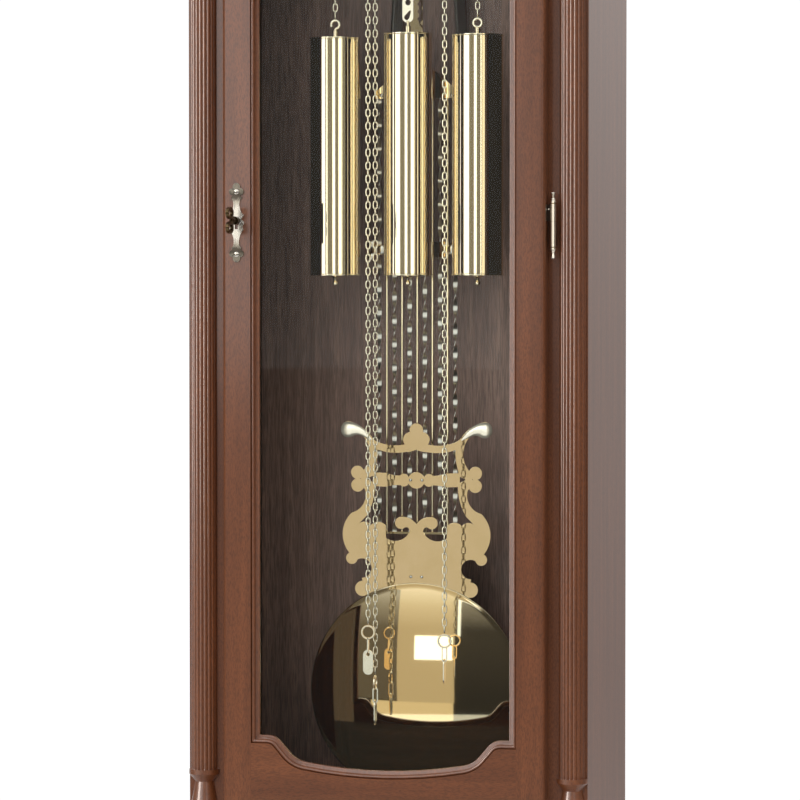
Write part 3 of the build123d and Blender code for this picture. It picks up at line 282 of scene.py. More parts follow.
@dataclass(frozen=True)
class Lacquered:
    """Stained timber under lacquer: short dark pores along the grain in a soft figure."""

    name: str
    pore: str
    dark: str
    light: str
    roughness: float
    coat: float
    coat_roughness: float
    pore_mm: tuple[float, float]  # a pore's width and length
    figure_mm: tuple[float, float]
    pore_share: float  # how much of the pores' colour shows
    figure_edges: tuple[float, float] = (0.32, 0.68)  # the noise at which the figure is dark or light
    pore_edges: tuple[float, float] = (0.54, 0.40)  # the noise at which a pore begins and is full
    relief: float = 0.05
    relief_mm: float = 0.2

    def streaks(
        self, tree: Tree, place: Socket, grain: Grain, size: tuple[float, float], detail: float
    ) -> Node:
        """Noise drawn out along the grain.

        Args:
            tree: The node tree.
            place: The coordinate socket.
            grain: The grain's axes.
            size: Width and length of a streak, in millimetres.
            detail: The noise's detail.

        Returns:
            The noise node.
        """
        scale = [1 / (size[0] * MM)] * 3
        for axis in grain.value:
            scale[axis] = 1 / (size[1] * MM)
        mapping = add_node(tree, "Mapping", inputs={"Vector": place, "Scale": scale})
        noise = {"Vector": mapping, "Scale": 1.0, "Detail": detail, "Roughness": 0.6}
        return add_node(tree, "TexNoise", inputs=noise)

    def material(self, grain: Grain) -> Material:
        """Builds the material for boards whose grain runs as given.

        Args:
            grain: The axes that it runs along.

        Returns:
            The material.
        """
        material, tree = new_tree(f"{self.name}, grain {grain.name.lower()}")
        place = add_node(tree, "TexCoord").outputs["Object"]
        figure = self.streaks(tree, place, grain, self.figure_mm, 3.0)
        pores = self.streaks(tree, place, grain, self.pore_mm, 2.0)
        stops = tuple(zip(self.figure_edges, (self.dark, self.light)))
        ground = add_node(tree, "ValToRGB", inputs={"Fac": figure}, stops=stops)
        begin, full = self.pore_edges
        edges = {"From Min": begin, "From Max": full, "To Max": self.pore_share}
        mask = add_node(tree, "MapRange", inputs={"Value": pores, **edges})
        mixed = {"Factor": mask, 6: ground, 7: linear(self.pore)}
        colour = add_node(tree, "Mix", {"data_type": "RGBA"}, mixed).outputs[2]
        hollow = {"Strength": self.relief, "Distance": self.relief_mm * MM, "Height": pores}
        look = {
            "Base Color": colour,
            "Roughness": self.roughness,
            "Normal": add_node(tree, "Bump", inputs=hollow),
            "Coat Weight": self.coat,
            "Coat Roughness": self.coat_roughness,
        }
        shader = add_node(tree, "BsdfPrincipled", inputs=look)
        add_node(tree, "OutputMaterial", inputs={"Surface": shader})
        return material


@dataclass(frozen=True)
class ClearGlass:
    """Float glass: see-through, with a mirror's gloss at its face."""

    name: str = "clear float glass"
    ior: float = 1.14
    film: float = 0.005  # how much a thin film of dust scatters

    def material(self) -> Material:
        """Builds the material, which lets light straight through."""
        material, tree = new_tree(self.name)
        clear = add_node(tree, "BsdfTransparent", inputs={"Color": linear("fbfdfc")})
        haze = add_node(tree, "BsdfDiffuse", inputs={"Color": linear("f4f2ee")})
        pane = add_node(tree, "MixShader", inputs={0: self.film, 1: clear, 2: haze})
        gloss = add_node(tree, "BsdfAnisotropic", inputs={"Roughness": 0.0})
        facing = add_node(tree, "Fresnel", inputs={"IOR": self.ior})
        mix = add_node(tree, "MixShader", inputs={0: facing, 1: pane, 2: gloss})
        add_node(tree, "OutputMaterial", inputs={"Surface": mix})
        return material


@dataclass(frozen=True)
class Paint:
    """An even coat of paint, ink or paper."""

    name: str
    colour: str
    roughness: float = 0.5

    def material(self) -> Material:
        """Builds the material."""
        material, tree = new_tree(self.name)
        look = {"Base Color": linear(self.colour), "Roughness": self.roughness}
        shader = add_node(tree, "BsdfPrincipled", inputs=look)
        add_node(tree, "OutputMaterial", inputs={"Surface": shader})
        return material


# Walnut-stained hardwood, sprayed with satin lacquer: a close speckle of short pores under a
# soft haze of gloss.
STAINED_HARDWOOD = Lacquered(
    "walnut-stained hardwood",
    pore="40200d",
    dark="703c1b",
    light="874c27",
    roughness=0.5,
    coat=0.9,
    coat_roughness=0.16,
    pore_mm=(0.8, 4.0),
    figure_mm=(16.0, 240.0),
    pore_share=0.45,
)
# Stained oak veneer: open grain in short upright ticks, duller than the frame.
OAK_VENEER = Lacquered(
    "stained oak veneer",
    pore="4a3226",
    dark="745244",
    light="906a59",
    roughness=0.55,
    coat=0.15,
    coat_roughness=0.40,
    pore_mm=(0.9, 22.0),
    figure_mm=(8.0, 190.0),
    pore_share=0.7,
)
# The sides' inner faces: the same veneer, painted nearly black as shade.
SHADE_DARK_LINING_VENEER = Lacquered(
    "dark lining veneer",
    pore="1c1813",
    dark="332d26",
    light="443c33",
    roughness=0.6,
    coat=0.1,
    coat_roughness=0.40,
    pore_mm=(0.9, 22.0),
    figure_mm=(8.0, 190.0),
    pore_share=0.5,
)


class Finishes:
    """Every finish on the clock, each made once."""

    def __init__(self) -> None:
        """Makes the materials."""
        self.upright = STAINED_HARDWOOD.material(Grain.UPRIGHT)
        self.across = STAINED_HARDWOOD.material(Grain.ACROSS)
        self.around = STAINED_HARDWOOD.material(Grain.AROUND)
        self.veneer = OAK_VENEER.material(Grain.UPRIGHT)
        self.lining = SHADE_DARK_LINING_VENEER.material(Grain.UPRIGHT)
        # Brass polished on a mop and lacquered: a clean pale mirror.
        self.mirror_brass = Metal("mirror-polished brass", "f8e6c2", 0.035).material()
        # The weights' tube is drawn, so its mirror is blurred a little round the tube.
        self.tube_brass = Metal("drawn brass tube", "f8e8c8", 0.06).material()
        # Flat brass, polished and lacquered, a little softer than the bob.
        self.plate_brass = Metal("polished brass plate", "f2e1c2", 0.05, "eddcba", 30.0).material()
        # Brass grained with emery for the movement's plates and wheels.
        self.brushed_brass = Metal("brushed brass", "d9bd83", 0.30, "cdaf72", 4.0).material()
        # Nickel over steel: bright and nearly white.
        self.nickel = Metal("bright nickel plate", "eae4d8", 0.10).material()
        # The same plate on rolled strip, where the twisting has dulled it.
        self.strip_nickel = Metal("nickel plate on twisted strip", "ece6da", 0.30).material()
        # The cast horn ends, plated and left a little milky.
        self.horn_nickel = Metal("milky nickel plate", "f2ede2", 0.20, metallic=0.65).material()
        # Satin nickel on the hinges: a creamy sheen without sharp reflections; the leaves behind the knuckles
        # are painted dark as shade.
        self.satin_nickel_shaded_leaves = ShadedBehind("satin nickel, its leaves stained over").material()
        # Steel chain with a thin brass plate: creamy, with glints on every bend.
        self.chain_brass = Metal("brassed steel wire", "fff4dc", 0.20, metallic=0.8).material()
        # Nickel silver with light painted into its colour: a painted highlight round the keyhole, painted
        # shade towards its ends.
        self.plate_painted_sheen = PaintedSheenPlate("rubbed nickel silver").material()
        # Cast bronze with an old brown skin, for the key.
        self.old_bronze = Metal("dark bronze", "7d6a4e", 0.30, "54462f", 5.0).material()
        # Steel heated to blue: nearly black in the hands.
        self.blued_steel = Metal("blued steel", "20232b", 0.3).material()
        # Cold-drawn steel: grey, with a soft sheen.
        self.steel = Metal("drawn steel", "a09d98", 0.28).material()
        # Cast iron under black enamel, which hides its grain.
        self.iron = Paint("black enamelled iron", "17171a", 0.45).material()
        # Brass silvered with a paste: white and grainless.
        self.silvered = Metal("silvered brass", "e6e2d6", 0.45, "dcd7c9", 6.0).material()
        # Engraved marks filled with wax: flat black.
        self.ink = Paint("black wax filling", "101010", 0.4).material()
        # Float glass: flat and clear, with the room's lights mirrored in it.
        self.glass = ClearGlass().material()


# ------------------------------------------------------------------ modelling


def deselect() -> None:
    """Leaves edit mode and deselects everything."""
    if bpy.context.object and bpy.context.object.mode != "OBJECT":
        bpy.ops.object.mode_set(mode="OBJECT")
    bpy.ops.object.select_all(action="DESELECT")


def pick(piece: Piece) -> Piece:
    """Makes one object the only one selected, and active.

    Args:
        piece: The object.

    Returns:
        The same object.
    """
    deselect()
    piece.select_set(True)
    bpy.context.view_layer.objects.active = piece
    return piece


def settle(piece: Piece) -> Piece:
    """Moves an object's place, turn and size into its mesh.

    Args:
        piece: The object.

    Returns:
        The same object.
    """
    pick(piece)
    bpy.ops.object.transform_apply(location=True, rotation=True, scale=True)
    return piece


def put(piece: Piece, centre: Vector, turn: Matrix) -> Piece:
    """Turns a piece that was made at the origin and moves it to its place."""
    piece.matrix_world = Matrix.Translation(centre) @ turn.to_4x4()
    return settle(piece)


def dress(piece: Piece, material: Material) -> Piece:
    """Gives an object one material.

    Args:
        piece: The object.
        material: Its finish.

    Returns:
        The same object.
    """
    piece.data.materials.clear()
    piece.data.materials.append(material)
    return piece


def dress_nodes(material: Material, *nodes: str) -> None:
    """Gives CAD nodes one material."""
    for node in nodes:
        dress(frame["nodes"][node], material)


def fit(piece: Piece, material: Material, body: str = "", node: str = "") -> Piece:
    """Dresses a new piece and says where it belongs.

    Args:
        piece: The piece.
        material: Its finish.
        body: The body that it rides on, unless it is blended between two.
        node: The CAD node that it stands for, if there is one.

    Returns:
        The piece.
    """
    dress(piece, material)
    if node:
        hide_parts(node)
    if body:
        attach(piece, body)
    return piece


def smooth(piece: Piece, angle: float = 30.0) -> Piece:
    """Shades an object smooth, except over its sharp edges.

    Args:
        piece: The object.
        angle: The sharpest edge that is shaded over, in degrees.

    Returns:
        The same object.
    """
    pick(piece)
    bpy.ops.object.shade_smooth_by_angle(angle=math.radians(angle))
    return piece


def joined(name: str, pieces: list[Piece]) -> Piece:
    """Joins two or more objects into one, under a name.

    Args:
        name: The whole's name.
        pieces: What is joined.

    Returns:
        The whole.
    """
    deselect()
    for piece in pieces:
        piece.select_set(True)
    bpy.context.view_layer.objects.active = pieces[0]
    bpy.ops.object.join()
    made = bpy.context.view_layer.objects.active
    made.name = name
    return settle(made)


def bevelled(piece: Piece, width_mm: float, angle: float = 35.0) -> Piece:
    """Rounds an object's sharp edges by a bevel of two facets.

    Args:
        piece: The object.
        width_mm: The bevel's width.
        angle: The bluntest edge that is rounded, in degrees.

    Returns:
        The same object.
    """
    pick(piece)
    bevel = piece.modifiers.new("Arris", "BEVEL")
    bevel.width = width_mm * MM
    bevel.segments = 2
    bevel.limit_method = "ANGLE"
    bevel.angle_limit = math.radians(angle)
    bevel.harden_normals = False
    bpy.ops.object.modifier_apply(modifier=bevel.name)
    return piece


def merge(distance_mm: float) -> None:
    """Merges the doubles of the mesh in edit mode, turns its faces outwards and leaves edit mode.

    Args:
        distance_mm: How near two points are one.
    """
    bpy.ops.mesh.select_all(action="SELECT")
    bpy.ops.mesh.remove_doubles(threshold=distance_mm * MM)
    bpy.ops.mesh.normals_make_consistent(inside=False)
    bpy.ops.object.mode_set(mode="OBJECT")


def block(name: str, size: tuple[float, float, float], centre: Vector) -> Piece:
    """A plain block.

    Args:
        name: The piece's name.
        size: Its size in metres.
        centre: Its middle.

    Returns:
        The block.
    """
    deselect()
    bpy.ops.mesh.primitive_cube_add(size=1)
    piece = bpy.context.object
    piece.name = name
    piece.scale = size
    piece.location = centre
    return settle(piece)


def turned(name: str, profile: Outline, centre: Vector, turn: Matrix = UPRIGHT, steps: int = 48) -> Piece:
    """Turns a profile round its axis, as on a lathe.

    Args:
        name: The piece's name.
        profile: Radius and height pairs in millimetres, along the outline.
        centre: The point that height 0 stands on.
        turn: Where the axis points.
        steps: Facets round the axis.

    Returns:
        The piece, closed and smooth.
    """
    deselect()
    bpy.ops.mesh.primitive_plane_add(size=1 * MM)
    piece = bpy.context.object
    piece.name = name
    bpy.ops.object.mode_set(mode="EDIT")
    shape = bmesh.from_edit_mesh(piece.data)
    bmesh.ops.delete(shape, geom=list(shape.verts), context="VERTS")
    points = [shape.verts.new((radius * MM, 0, height * MM)) for radius, height in profile]
    for first, second in zip(points, points[1:]):
        shape.edges.new((first, second))
    bmesh.update_edit_mesh(piece.data)
    bpy.ops.mesh.select_all(action="SELECT")
    bpy.ops.mesh.spin(steps=steps, angle=2 * math.pi, center=(0, 0, 0), axis=(0, 0, 1))
    merge(0.005)
    return smooth(put(piece, centre, turn), 40)


def rod(name: str, radius_mm: float, low: Vector, high: Vector) -> Piece:
    """A plain round rod between two points, with eased ends.

    Args:
        name: The piece's name.
        radius_mm: Its radius.
        low: Its lower end.
        high: Its upper end.

    Returns:
        The rod.
    """
    deselect()
    bpy.ops.mesh.primitive_cylinder_add(vertices=24, radius=radius_mm * MM, depth=(high - low).length)
    piece = bpy.context.object
    piece.name = name
    put(piece, (low + high) / 2, (high - low).to_track_quat("Z", "Y").to_matrix())
    return smooth(bevelled(piece, 0.3, 60), 35)


def ring(name: str, radius_mm: float, wire_mm: float, centre: Vector, turn: Matrix) -> Piece:
    """A closed ring of round wire.

    Args:
        name: The piece's name.
        radius_mm: To the wire's middle.
        wire_mm: The wire's radius.
        centre: The ring's middle.
        turn: Where its axis points.

    Returns:
        The ring.
    """
    deselect()
    bpy.ops.mesh.primitive_torus_add(
        major_radius=radius_mm * MM, minor_radius=wire_mm * MM, major_segments=36, minor_segments=10
    )
    piece = bpy.context.object
    piece.name = name
    return smooth(put(piece, centre, turn), 60)


def meshed(name: str, curve: bpy.types.Curve) -> Piece:
    """Makes an object of a curve and turns it into a mesh.

    Args:
        name: The piece's name.
        curve: The curve.

    Returns:
        The mesh object.
    """
    piece = bpy.data.objects.new(name, curve)
    bpy.context.scene.collection.objects.link(piece)
    pick(piece)
    bpy.ops.object.convert(target="MESH")
    return bpy.context.object


def bent_wire(name: str, wire_mm: float, points: list[Vector], swell: tuple[float, ...] = ()) -> Piece:
    """Round wire bent smoothly along its points, with closed ends.

    Args:
        name: The piece's name.
        wire_mm: The wire's radius.
        points: The line's control points.
        swell: The radius at each point, as a share of wire_mm, if it isn't even.

    Returns:
        The wire.
    """
    deselect()
    curve = bpy.data.curves.new(name, "CURVE")
    curve.dimensions = "3D"
    curve.bevel_depth = wire_mm * MM
    curve.bevel_resolution = 3
    curve.use_fill_caps = True
    curve.resolution_u = 6
    line = curve.splines.new("NURBS")
    line.points.add(len(points) - 1)
    for point, place in zip(line.points, points):
        point.co = (*place, 1)
    for point, share in zip(line.points, swell):
        point.radius = share
    line.order_u = 3
    line.use_endpoint_u = True
    return smooth(meshed(name, curve), 60)


def plate(
    name: str,
    outlines: list[Outline],
    thick_mm: float,
    centre: Vector,
    turn: Matrix = FACING,
    edge_mm: float = 0.15,
) -> Piece:
    """A flat plate cut to outlines; one outline inside another is a hole.

    Args:
        name: The piece's name.
        outlines: Closed lists of points.
        thick_mm: The plate's thickness.
        centre: Where the outlines' origin lies, at half the thickness.
        turn: Where the plate faces.
        edge_mm: The ease of its edges.

    Returns:
        The plate.
    """
    deselect()
    curve = bpy.data.curves.new(name, "CURVE")
    curve.dimensions = "2D"
    curve.fill_mode = "BOTH"
    curve.extrude = (thick_mm / 2 - edge_mm) * MM
    curve.bevel_depth = edge_mm * MM
    curve.bevel_resolution = 1
    curve.offset = -edge_mm * MM
    for outline in outlines:
        line = curve.splines.new("POLY")
        line.points.add(len(outline) - 1)
        for point, (x, y) in zip(line.points, outline):
            point.co = (x * MM, y * MM, 0, 1)
        line.use_cyclic_u = True
    piece = meshed(name, curve)
    bpy.ops.object.mode_set(mode="EDIT")
    merge(0.003)
    return put(piece, centre, turn)


def arc(x: float, y: float, radius: float, start: float, end: float, steps: int = 12) -> Outline:
    """Points along an arc, angles in degrees."""
    angles = [math.radians(start + (end - start) * k / steps) for k in range(steps + 1)]
    return [(x + radius * math.cos(a), y + radius * math.sin(a)) for a in angles]


def circle(x: float, y: float, radius: float, steps: int = 28) -> Outline:
    """Points round a full circle."""
    return arc(x, y, radius, 0, 360, steps)[:-1]


def domed(name: str, radius_mm: float, rise_mm: float, centre: Vector) -> Piece:
    """A solid dome that faces the front.

    Args:
        name: The piece's name.
        radius_mm: Its radius.
        rise_mm: Its height.
        centre: The middle of its flat back.

    Returns:
        The dome.
    """
    angles = [math.pi / 2 * k / 8 for k in range(9)]
    profile = [(radius_mm * math.sin(a), rise_mm * math.cos(a)) for a in angles]
    return turned(name, [*profile, (0, 0)], centre, FACING, 28)


# A round screw head's outline and the size of the cutter for its slot, as shares of its radius.
SCREW_HEAD = ((1.0, 0.12), (0.8, 0.42), (0.4, 0.6), (0.0, 0.65))
SCREW_SLOT = (3.0, 0.28, 0.7)
SCREW_ROOT_MM = 0.2  # how deep the head stands in its plate


def screw(name: str, radius_mm: float, head: Vector, turn_deg: float = 30.0) -> Piece:
    """A small round-headed screw facing the front, its slot cut across.

    Args:
        name: The piece's name.
        radius_mm: The head's radius.
        head: Where the head stands on its plate.
        turn_deg: How far the slot is turned.

    Returns:
        The screw's head.
    """
    profile = [(0, -SCREW_ROOT_MM), (radius_mm, -SCREW_ROOT_MM)]
    profile += [(radius_mm * out, radius_mm * up) for out, up in SCREW_HEAD]
    piece = turned(name, profile, Vector(), UPRIGHT, 20)
    size = tuple(radius_mm * share * MM for share in SCREW_SLOT)
    slot = block("slot", size, Vector((0, 0, radius_mm * SCREW_HEAD[-1][1] * MM)))
    pick(piece)
    cut = piece.modifiers.new("Slot", "BOOLEAN")
    cut.operation = "DIFFERENCE"
    cut.object = slot
    bpy.ops.object.modifier_apply(modifier=cut.name)
    bpy.data.objects.remove(slot)
    return put(piece, head, FACING @ Matrix.Rotation(math.radians(turn_deg), 3, "Z"))


COPY_MERGE_MM = 0.01  # loose triangles' corners that are this near are merged in a copy
COPY_FLAT_DEG = 0.6  # and triangles as flat as this are made one face


def node_copy(name: str, node: str) -> Piece:
    """Copies a CAD node's mesh as a new, merged object that is clean enough to bevel.

    Args:
        name: The piece's name.
        node: The CAD node.

    Returns:
        The copy.
    """
    piece = bpy.data.objects.new(name, frame["nodes"][node].data.copy())
    bpy.context.scene.collection.objects.link(piece)
    pick(piece)
    bpy.ops.object.mode_set(mode="EDIT")
    bpy.ops.mesh.select_all(action="SELECT")
    bpy.ops.mesh.remove_doubles(threshold=COPY_MERGE_MM * MM)
    bpy.ops.mesh.dissolve_limited(angle_limit=math.radians(COPY_FLAT_DEG))
    bpy.ops.object.mode_set(mode="OBJECT")
    return piece


# ------------------------------------------------------------------ the case


@dataclass
class Case:
    """The wooden case and its door."""

    finishes: Finishes
    bead_arris_mm: float = 0.7
    bead_edge_deg: float = 40.0  # an edge sharper than this is eased, and stays sharp in shading
    lining_mm: float = 0.8
    lining_arris_mm: float = 0.3
    lining_depths: tuple[float, float] = (46.0, 268.0)
    lining_short_mm: float = 30.0  # how far the lining stops before each end of the side

    def build(self) -> None:
        """Dresses the boards and eases the glazing bead's edges."""
        f = self.finishes
        dress_nodes(f.across, "plinth_front", "plinth_top", "pediment", "top_board", "seat_rails")
        dress_nodes(f.across, "door_rail_bottom", "door_rail_top")
        dress_nodes(f.around, "plinth_carcass", "base_moulding", "waist_moulding", "cornice")
        dress_nodes(f.upright, "side_left", "side_right", "face_frame", "columns")
        dress_nodes(f.upright, "door_stile_left", "door_stile_right")
        dress_nodes(f.veneer, "back_panel")
        dress_nodes(f.glass, "door_glass")
        self.lining()
        bead = node_copy("eased_glazing_bead", "glazing_bead")
        bevelled(bead, self.bead_arris_mm, self.bead_edge_deg)
        fit(smooth(bead, self.bead_edge_deg), f.upright, "door", "glazing_bead")
        LOG.info("case dressed")

    def lining(self) -> None:
        """Thin veneered boards on the inner faces of the sides, painted nearly black as shade."""
        side_low, side_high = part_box("side_left")
        low, high = (depth(d) for d in self.lining_depths)
        tall = side_high.z - side_low.z - 2 * self.lining_short_mm * MM
        for side, name in ((-1, "left"), (1, "right")):
            x = side * (abs(side_high.x) - self.lining_mm / 2 * MM)
            centre = Vector((x, (low + high) / 2, (side_low.z + side_high.z) / 2))
            board = block(f"inner_lining_{name}", (self.lining_mm * MM, high - low, tall), centre)
            fit(bevelled(board, self.lining_arris_mm), self.finishes.lining, "case")


# ------------------------------------------------------------------ chains


@dataclass
class Chain:
    """One train's chain: a fall to the weight, a free tail, and the turn over its wheel."""

    train: str
    finishes: Finishes
    pitch_mm: float = 7.07
    width_mm: float = 6.0
    wire_mm: float = 0.74
    turns_deg: tuple[float, float] = (12.0, 96.0)  # how two neighbouring links are turned
    crush_mm: float = 8.0  # height at the wheel in which the run still on the wheel is kept
    travel_mm: float = 565.0

    def link(self, turn_deg: float) -> Piece:
        """One oval link standing upright at the origin, turned about its length.

        Args:
            turn_deg: How far it is turned.

        Returns:
            The link.
        """
        deselect()
        bpy.ops.mesh.primitive_torus_add(
            major_segments=12,
            minor_segments=5,
            major_radius=(self.width_mm / 2 - self.wire_mm) * MM,
            minor_radius=self.wire_mm * MM,
            rotation=(math.radians(90), 0, 0),
        )
        piece = settle(bpy.context.object)
        # Neighbouring links touch inside each other's ends: a link is two wires longer than its pitch.
        spare = (self.pitch_mm / 2 + 2 * self.wire_mm - self.width_mm / 2) * MM
        # The points near the middle of its height stay, so that its sides are straight.
        for vertex in piece.data.vertices:
            if abs(vertex.co.z) > self.wire_mm * 0.8 * MM:
                vertex.co.z += math.copysign(spare, vertex.co.z)
        piece.rotation_euler = (0, 0, math.radians(turn_deg))
        return settle(piece)

    def run(self, name: str, top: Vector, length_mm: float) -> Piece:
        """A straight run of links that hangs down from its top.

        Args:
            name: The run's name.
            top: Its upper end.
            length_mm: How far it hangs.

        Returns:
            The run, one mesh.
        """
        pair = [self.link(turn) for turn in self.turns_deg]
        pair[1].location.z = -self.pitch_mm * MM
        chain = pick(joined(name, pair))
        array = chain.modifiers.new("Links", "ARRAY")
        array.use_relative_offset = False
        array.use_constant_offset = True
        array.constant_offset_displace = (0, 0, -2 * self.pitch_mm * MM)
        array.count = max(1, round(length_mm / self.pitch_mm / 2))
        bpy.ops.object.modifier_apply(modifier=array.name)
        heights = [v.co.z for v in chain.data.vertices]
        chain.scale.z = length_mm * MM / (max(heights) - min(heights))
        chain.location = (top.x, top.y, top.z - max(heights) * chain.scale.z)
        return smooth(settle(chain), 80)

    def build(self) -> None:
        """Builds the three runs."""
        wire, slot = self.finishes.chain_brass, "lacquered_brass"
        fall_node, tail_node = f"chain_fall_{self.train}", f"chain_tail_{self.train}"
        (fall_low, fall_high), (tail_low, tail_high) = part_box(fall_node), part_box(tail_node)
        fall, tail = (fall_low + fall_high) / 2, (tail_low + tail_high) / 2
        fall.z = tail.z = fall_high.z
        fall_mm, tail_mm = (fall.z - fall_low.z) / MM, (fall.z - tail_low.z) / MM

        taut = self.run(f"chain_to_weight_{self.train}", fall, fall_mm + self.travel_mm)
        self.crush(taut, fall.z)
        fit(taut, wire, node=fall_node)
        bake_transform(taut)

        free = self.run(f"chain_free_end_{self.train}", tail, tail_mm)
        fit(free, wire, node=tail_node)
        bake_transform(free)
        fit(self.over_wheel(fall, tail), wire, "case")
        LOG.info("chain %s built", self.train)

    def crush(self, chain: Piece, anchor_z: float) -> None:
        """Packs the part of a run that is still on the wheel into a short height by the wheel.

        The run is made at its full length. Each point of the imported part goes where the
        weight's fall will bring it back to its own place.

        Args:
            chain: The run.
            anchor_z: The height of the wheel's axis, where the run begins.
        """
        travel, gap = self.travel_mm * MM, self.crush_mm * MM
        for vertex in chain.data.vertices:
            down = anchor_z - vertex.co.z
            if down >= travel + gap:
                vertex.co.z = anchor_z - (down - travel)
                continue
            low, high = 0.0, 1.0
            for _ in range(40):
                middle = (low + high) / 2
                reached = gap * middle + travel * middle * middle * (3 - 2 * middle)
                low, high = (middle, high) if reached < down else (low, middle)
            vertex.co.z = anchor_z - gap * low

    def over_wheel(self, fall: Vector, tail: Vector) -> Piece:
        """Lays links round the upper half of the chain wheel.

        Args:
            fall: The top of the weight's run.
            tail: The top of the free run.

        Returns:
            The links, one mesh.
        """
        centre = Vector(((fall.x + tail.x) / 2, fall.y, fall.z))
        radius = abs(tail.x - fall.x) / 2
        count = round(math.pi * radius / (self.pitch_mm * MM))
        links = []
        for place in range(count):
            angle = math.pi * (place + 0.5) / count
            piece = self.link(0 if place % 2 else 90)
            piece.rotation_euler = (0, -angle, 0)
            piece.location = centre + Vector((math.cos(angle), 0, math.sin(angle))) * radius
            links.append(settle(piece))
        return smooth(joined(f"chain_over_wheel_{self.train}", links), 80)


# ------------------------------------------------------------------ weights


@dataclass
class Weight:
    """A polished brass weight with thin rolled rims, a ball under it and a hook above.

    The outlines are pairs of radius and height in millimetres.
    """

    train: str
    finishes: Finishes
    radius_mm: float
    shell_mm: float
    ball_r_mm: float = 3.0
    stem: tuple[tuple[float, float], ...] = ((1.6, 6.0), (2.6, 7.6), (4.4, 9.4), (6.0, 10.4), (7.0, 11.0))
    rim_mm: float = 0.8
    # A rolled rim, from the end plate to the wall: shares of rim_mm outside it, and heights.
    rim: tuple[tuple[float, float], ...] = ((-0.5, 0), (0.7, 0.25), (1, 0.9), (0.7, 1.6), (0, 2.0), (0, 3.0))
    neck_mm: float = 8.0  # the collar on top of the shell
    neck_foot: tuple[tuple[float, float], ...] = ((6.5, 0.0), (5.8, 0.8), (3.2, 1.0))
    neck_top: tuple[tuple[float, float], ...] = ((3.2, -0.4), (2.8, 0.0), (1.7, 0.2))
    spindle_r_mm: float = 1.7
    hook_r_mm: float = 4.6
    wire_mm: float = 1.5
    plate_w_mm: float = 12.2  # the centre weight's hanger plate
    plate_mm: float = 53.0
    plate_thick_mm: float = 1.6
    plate_edge_mm: float = 0.25
    # The plate's round holes, the first at its upper end, and a slanted drop-shaped one under them,
    # an arc with a corner cut off: x, height from the plate's middle and radius.
    end_hole_r_mm: float = 2.4
    round_hole: tuple[float, float, float] = (0.3, -4.6, 3.0)
    drop: tuple[float, float, float] = (-1.2, -20.6, 2.7)
    drop_tip: tuple[tuple[float, float], ...] = ((3.6, -14.6), (2.9, -13.2), (1.4, -13.8))

    def build(self) -> None:
        """Builds the shell and its hook, ring or hanger plate."""
        low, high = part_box(f"weight_{self.train}")
        centre = (low + high) / 2
        centre_one = self.train == "centre"
        base = self.stem[-1][1]
        top = base + self.shell_mm
        collar = top + self.neck_mm
        # The spindle ends just inside the hanger plate, or under the hook.
        neck = (high.z - low.z) / MM
        neck -= self.plate_mm - 2 if centre_one else 2 * self.hook_r_mm + self.wire_mm
        ball = arc(0, self.ball_r_mm, self.ball_r_mm, -90, 54, 8)
        profile = [*ball, *self.stem, *self.rolled_rim(base, 1), *self.rolled_rim(top, -1)]
        profile += [(r, top + z) for r, z in self.neck_foot]
        profile += [(r, collar + z) for r, z in self.neck_top]
        profile += [(self.spindle_r_mm, neck), (0, neck)]
        shell = turned(f"weight_shell_{self.train}", profile, Vector((*centre.xy, low.z)), steps=96)
        body = f"weight_{self.train}_drop"
        fit(shell, self.finishes.tube_brass, body, f"weight_{self.train}")
        metal = self.finishes.nickel if centre_one else self.finishes.chain_brass
        fit(self.hanger(Vector((*centre.xy, high.z))), metal, body)
        LOG.info("weight %s built", self.train)

    def rolled_rim(self, z: float, direction: int) -> Outline:
        """The outline of one rolled rim, from the end plate to the wall or back."""
        points = [(self.radius_mm + self.rim_mm * out, z + direction * up) for out, up in self.rim]
        return points if direction > 0 else points[::-1]

    def hanger(self, top: Vector) -> Piece:
        """The open hook on the left, the pierced plate in the middle or the ring on the right.

        Args:
            top: The highest point of the hanger.

        Returns:
            The hanger.
        """
        name = f"weight_hanger_{self.train}"
        if self.train == "centre":
            half = self.plate_w_mm / 2
            straight = self.plate_mm / 2 - half
            outline = arc(0, straight, half, 0, 180) + arc(0, -straight, half, 180, 360)
            holes = [circle(0, straight, self.end_hole_r_mm), circle(*self.round_hole)]
            holes.append([*arc(*self.drop, 130, 345, 16), *self.drop_tip])
            middle = top - Vector((0, 0, self.plate_mm / 2 * MM))
            return plate(name, [outline, *holes], self.plate_thick_mm, middle, edge_mm=self.plate_edge_mm)
        middle = top - Vector((0, 0, self.hook_r_mm + self.wire_mm)) * MM
        if self.train == "right":
            return ring(name, self.hook_r_mm, self.wire_mm, middle, FACING)
        bend = arc(0, 0, self.hook_r_mm, -90, 210, 14)
        points = [middle + Vector((x, 0, z)) * MM for x, z in [(0, -self.hook_r_mm - 2), *bend]]
        return bent_wire(name, self.wire_mm, points)


# ------------------------------------------------------------------ the pendulum


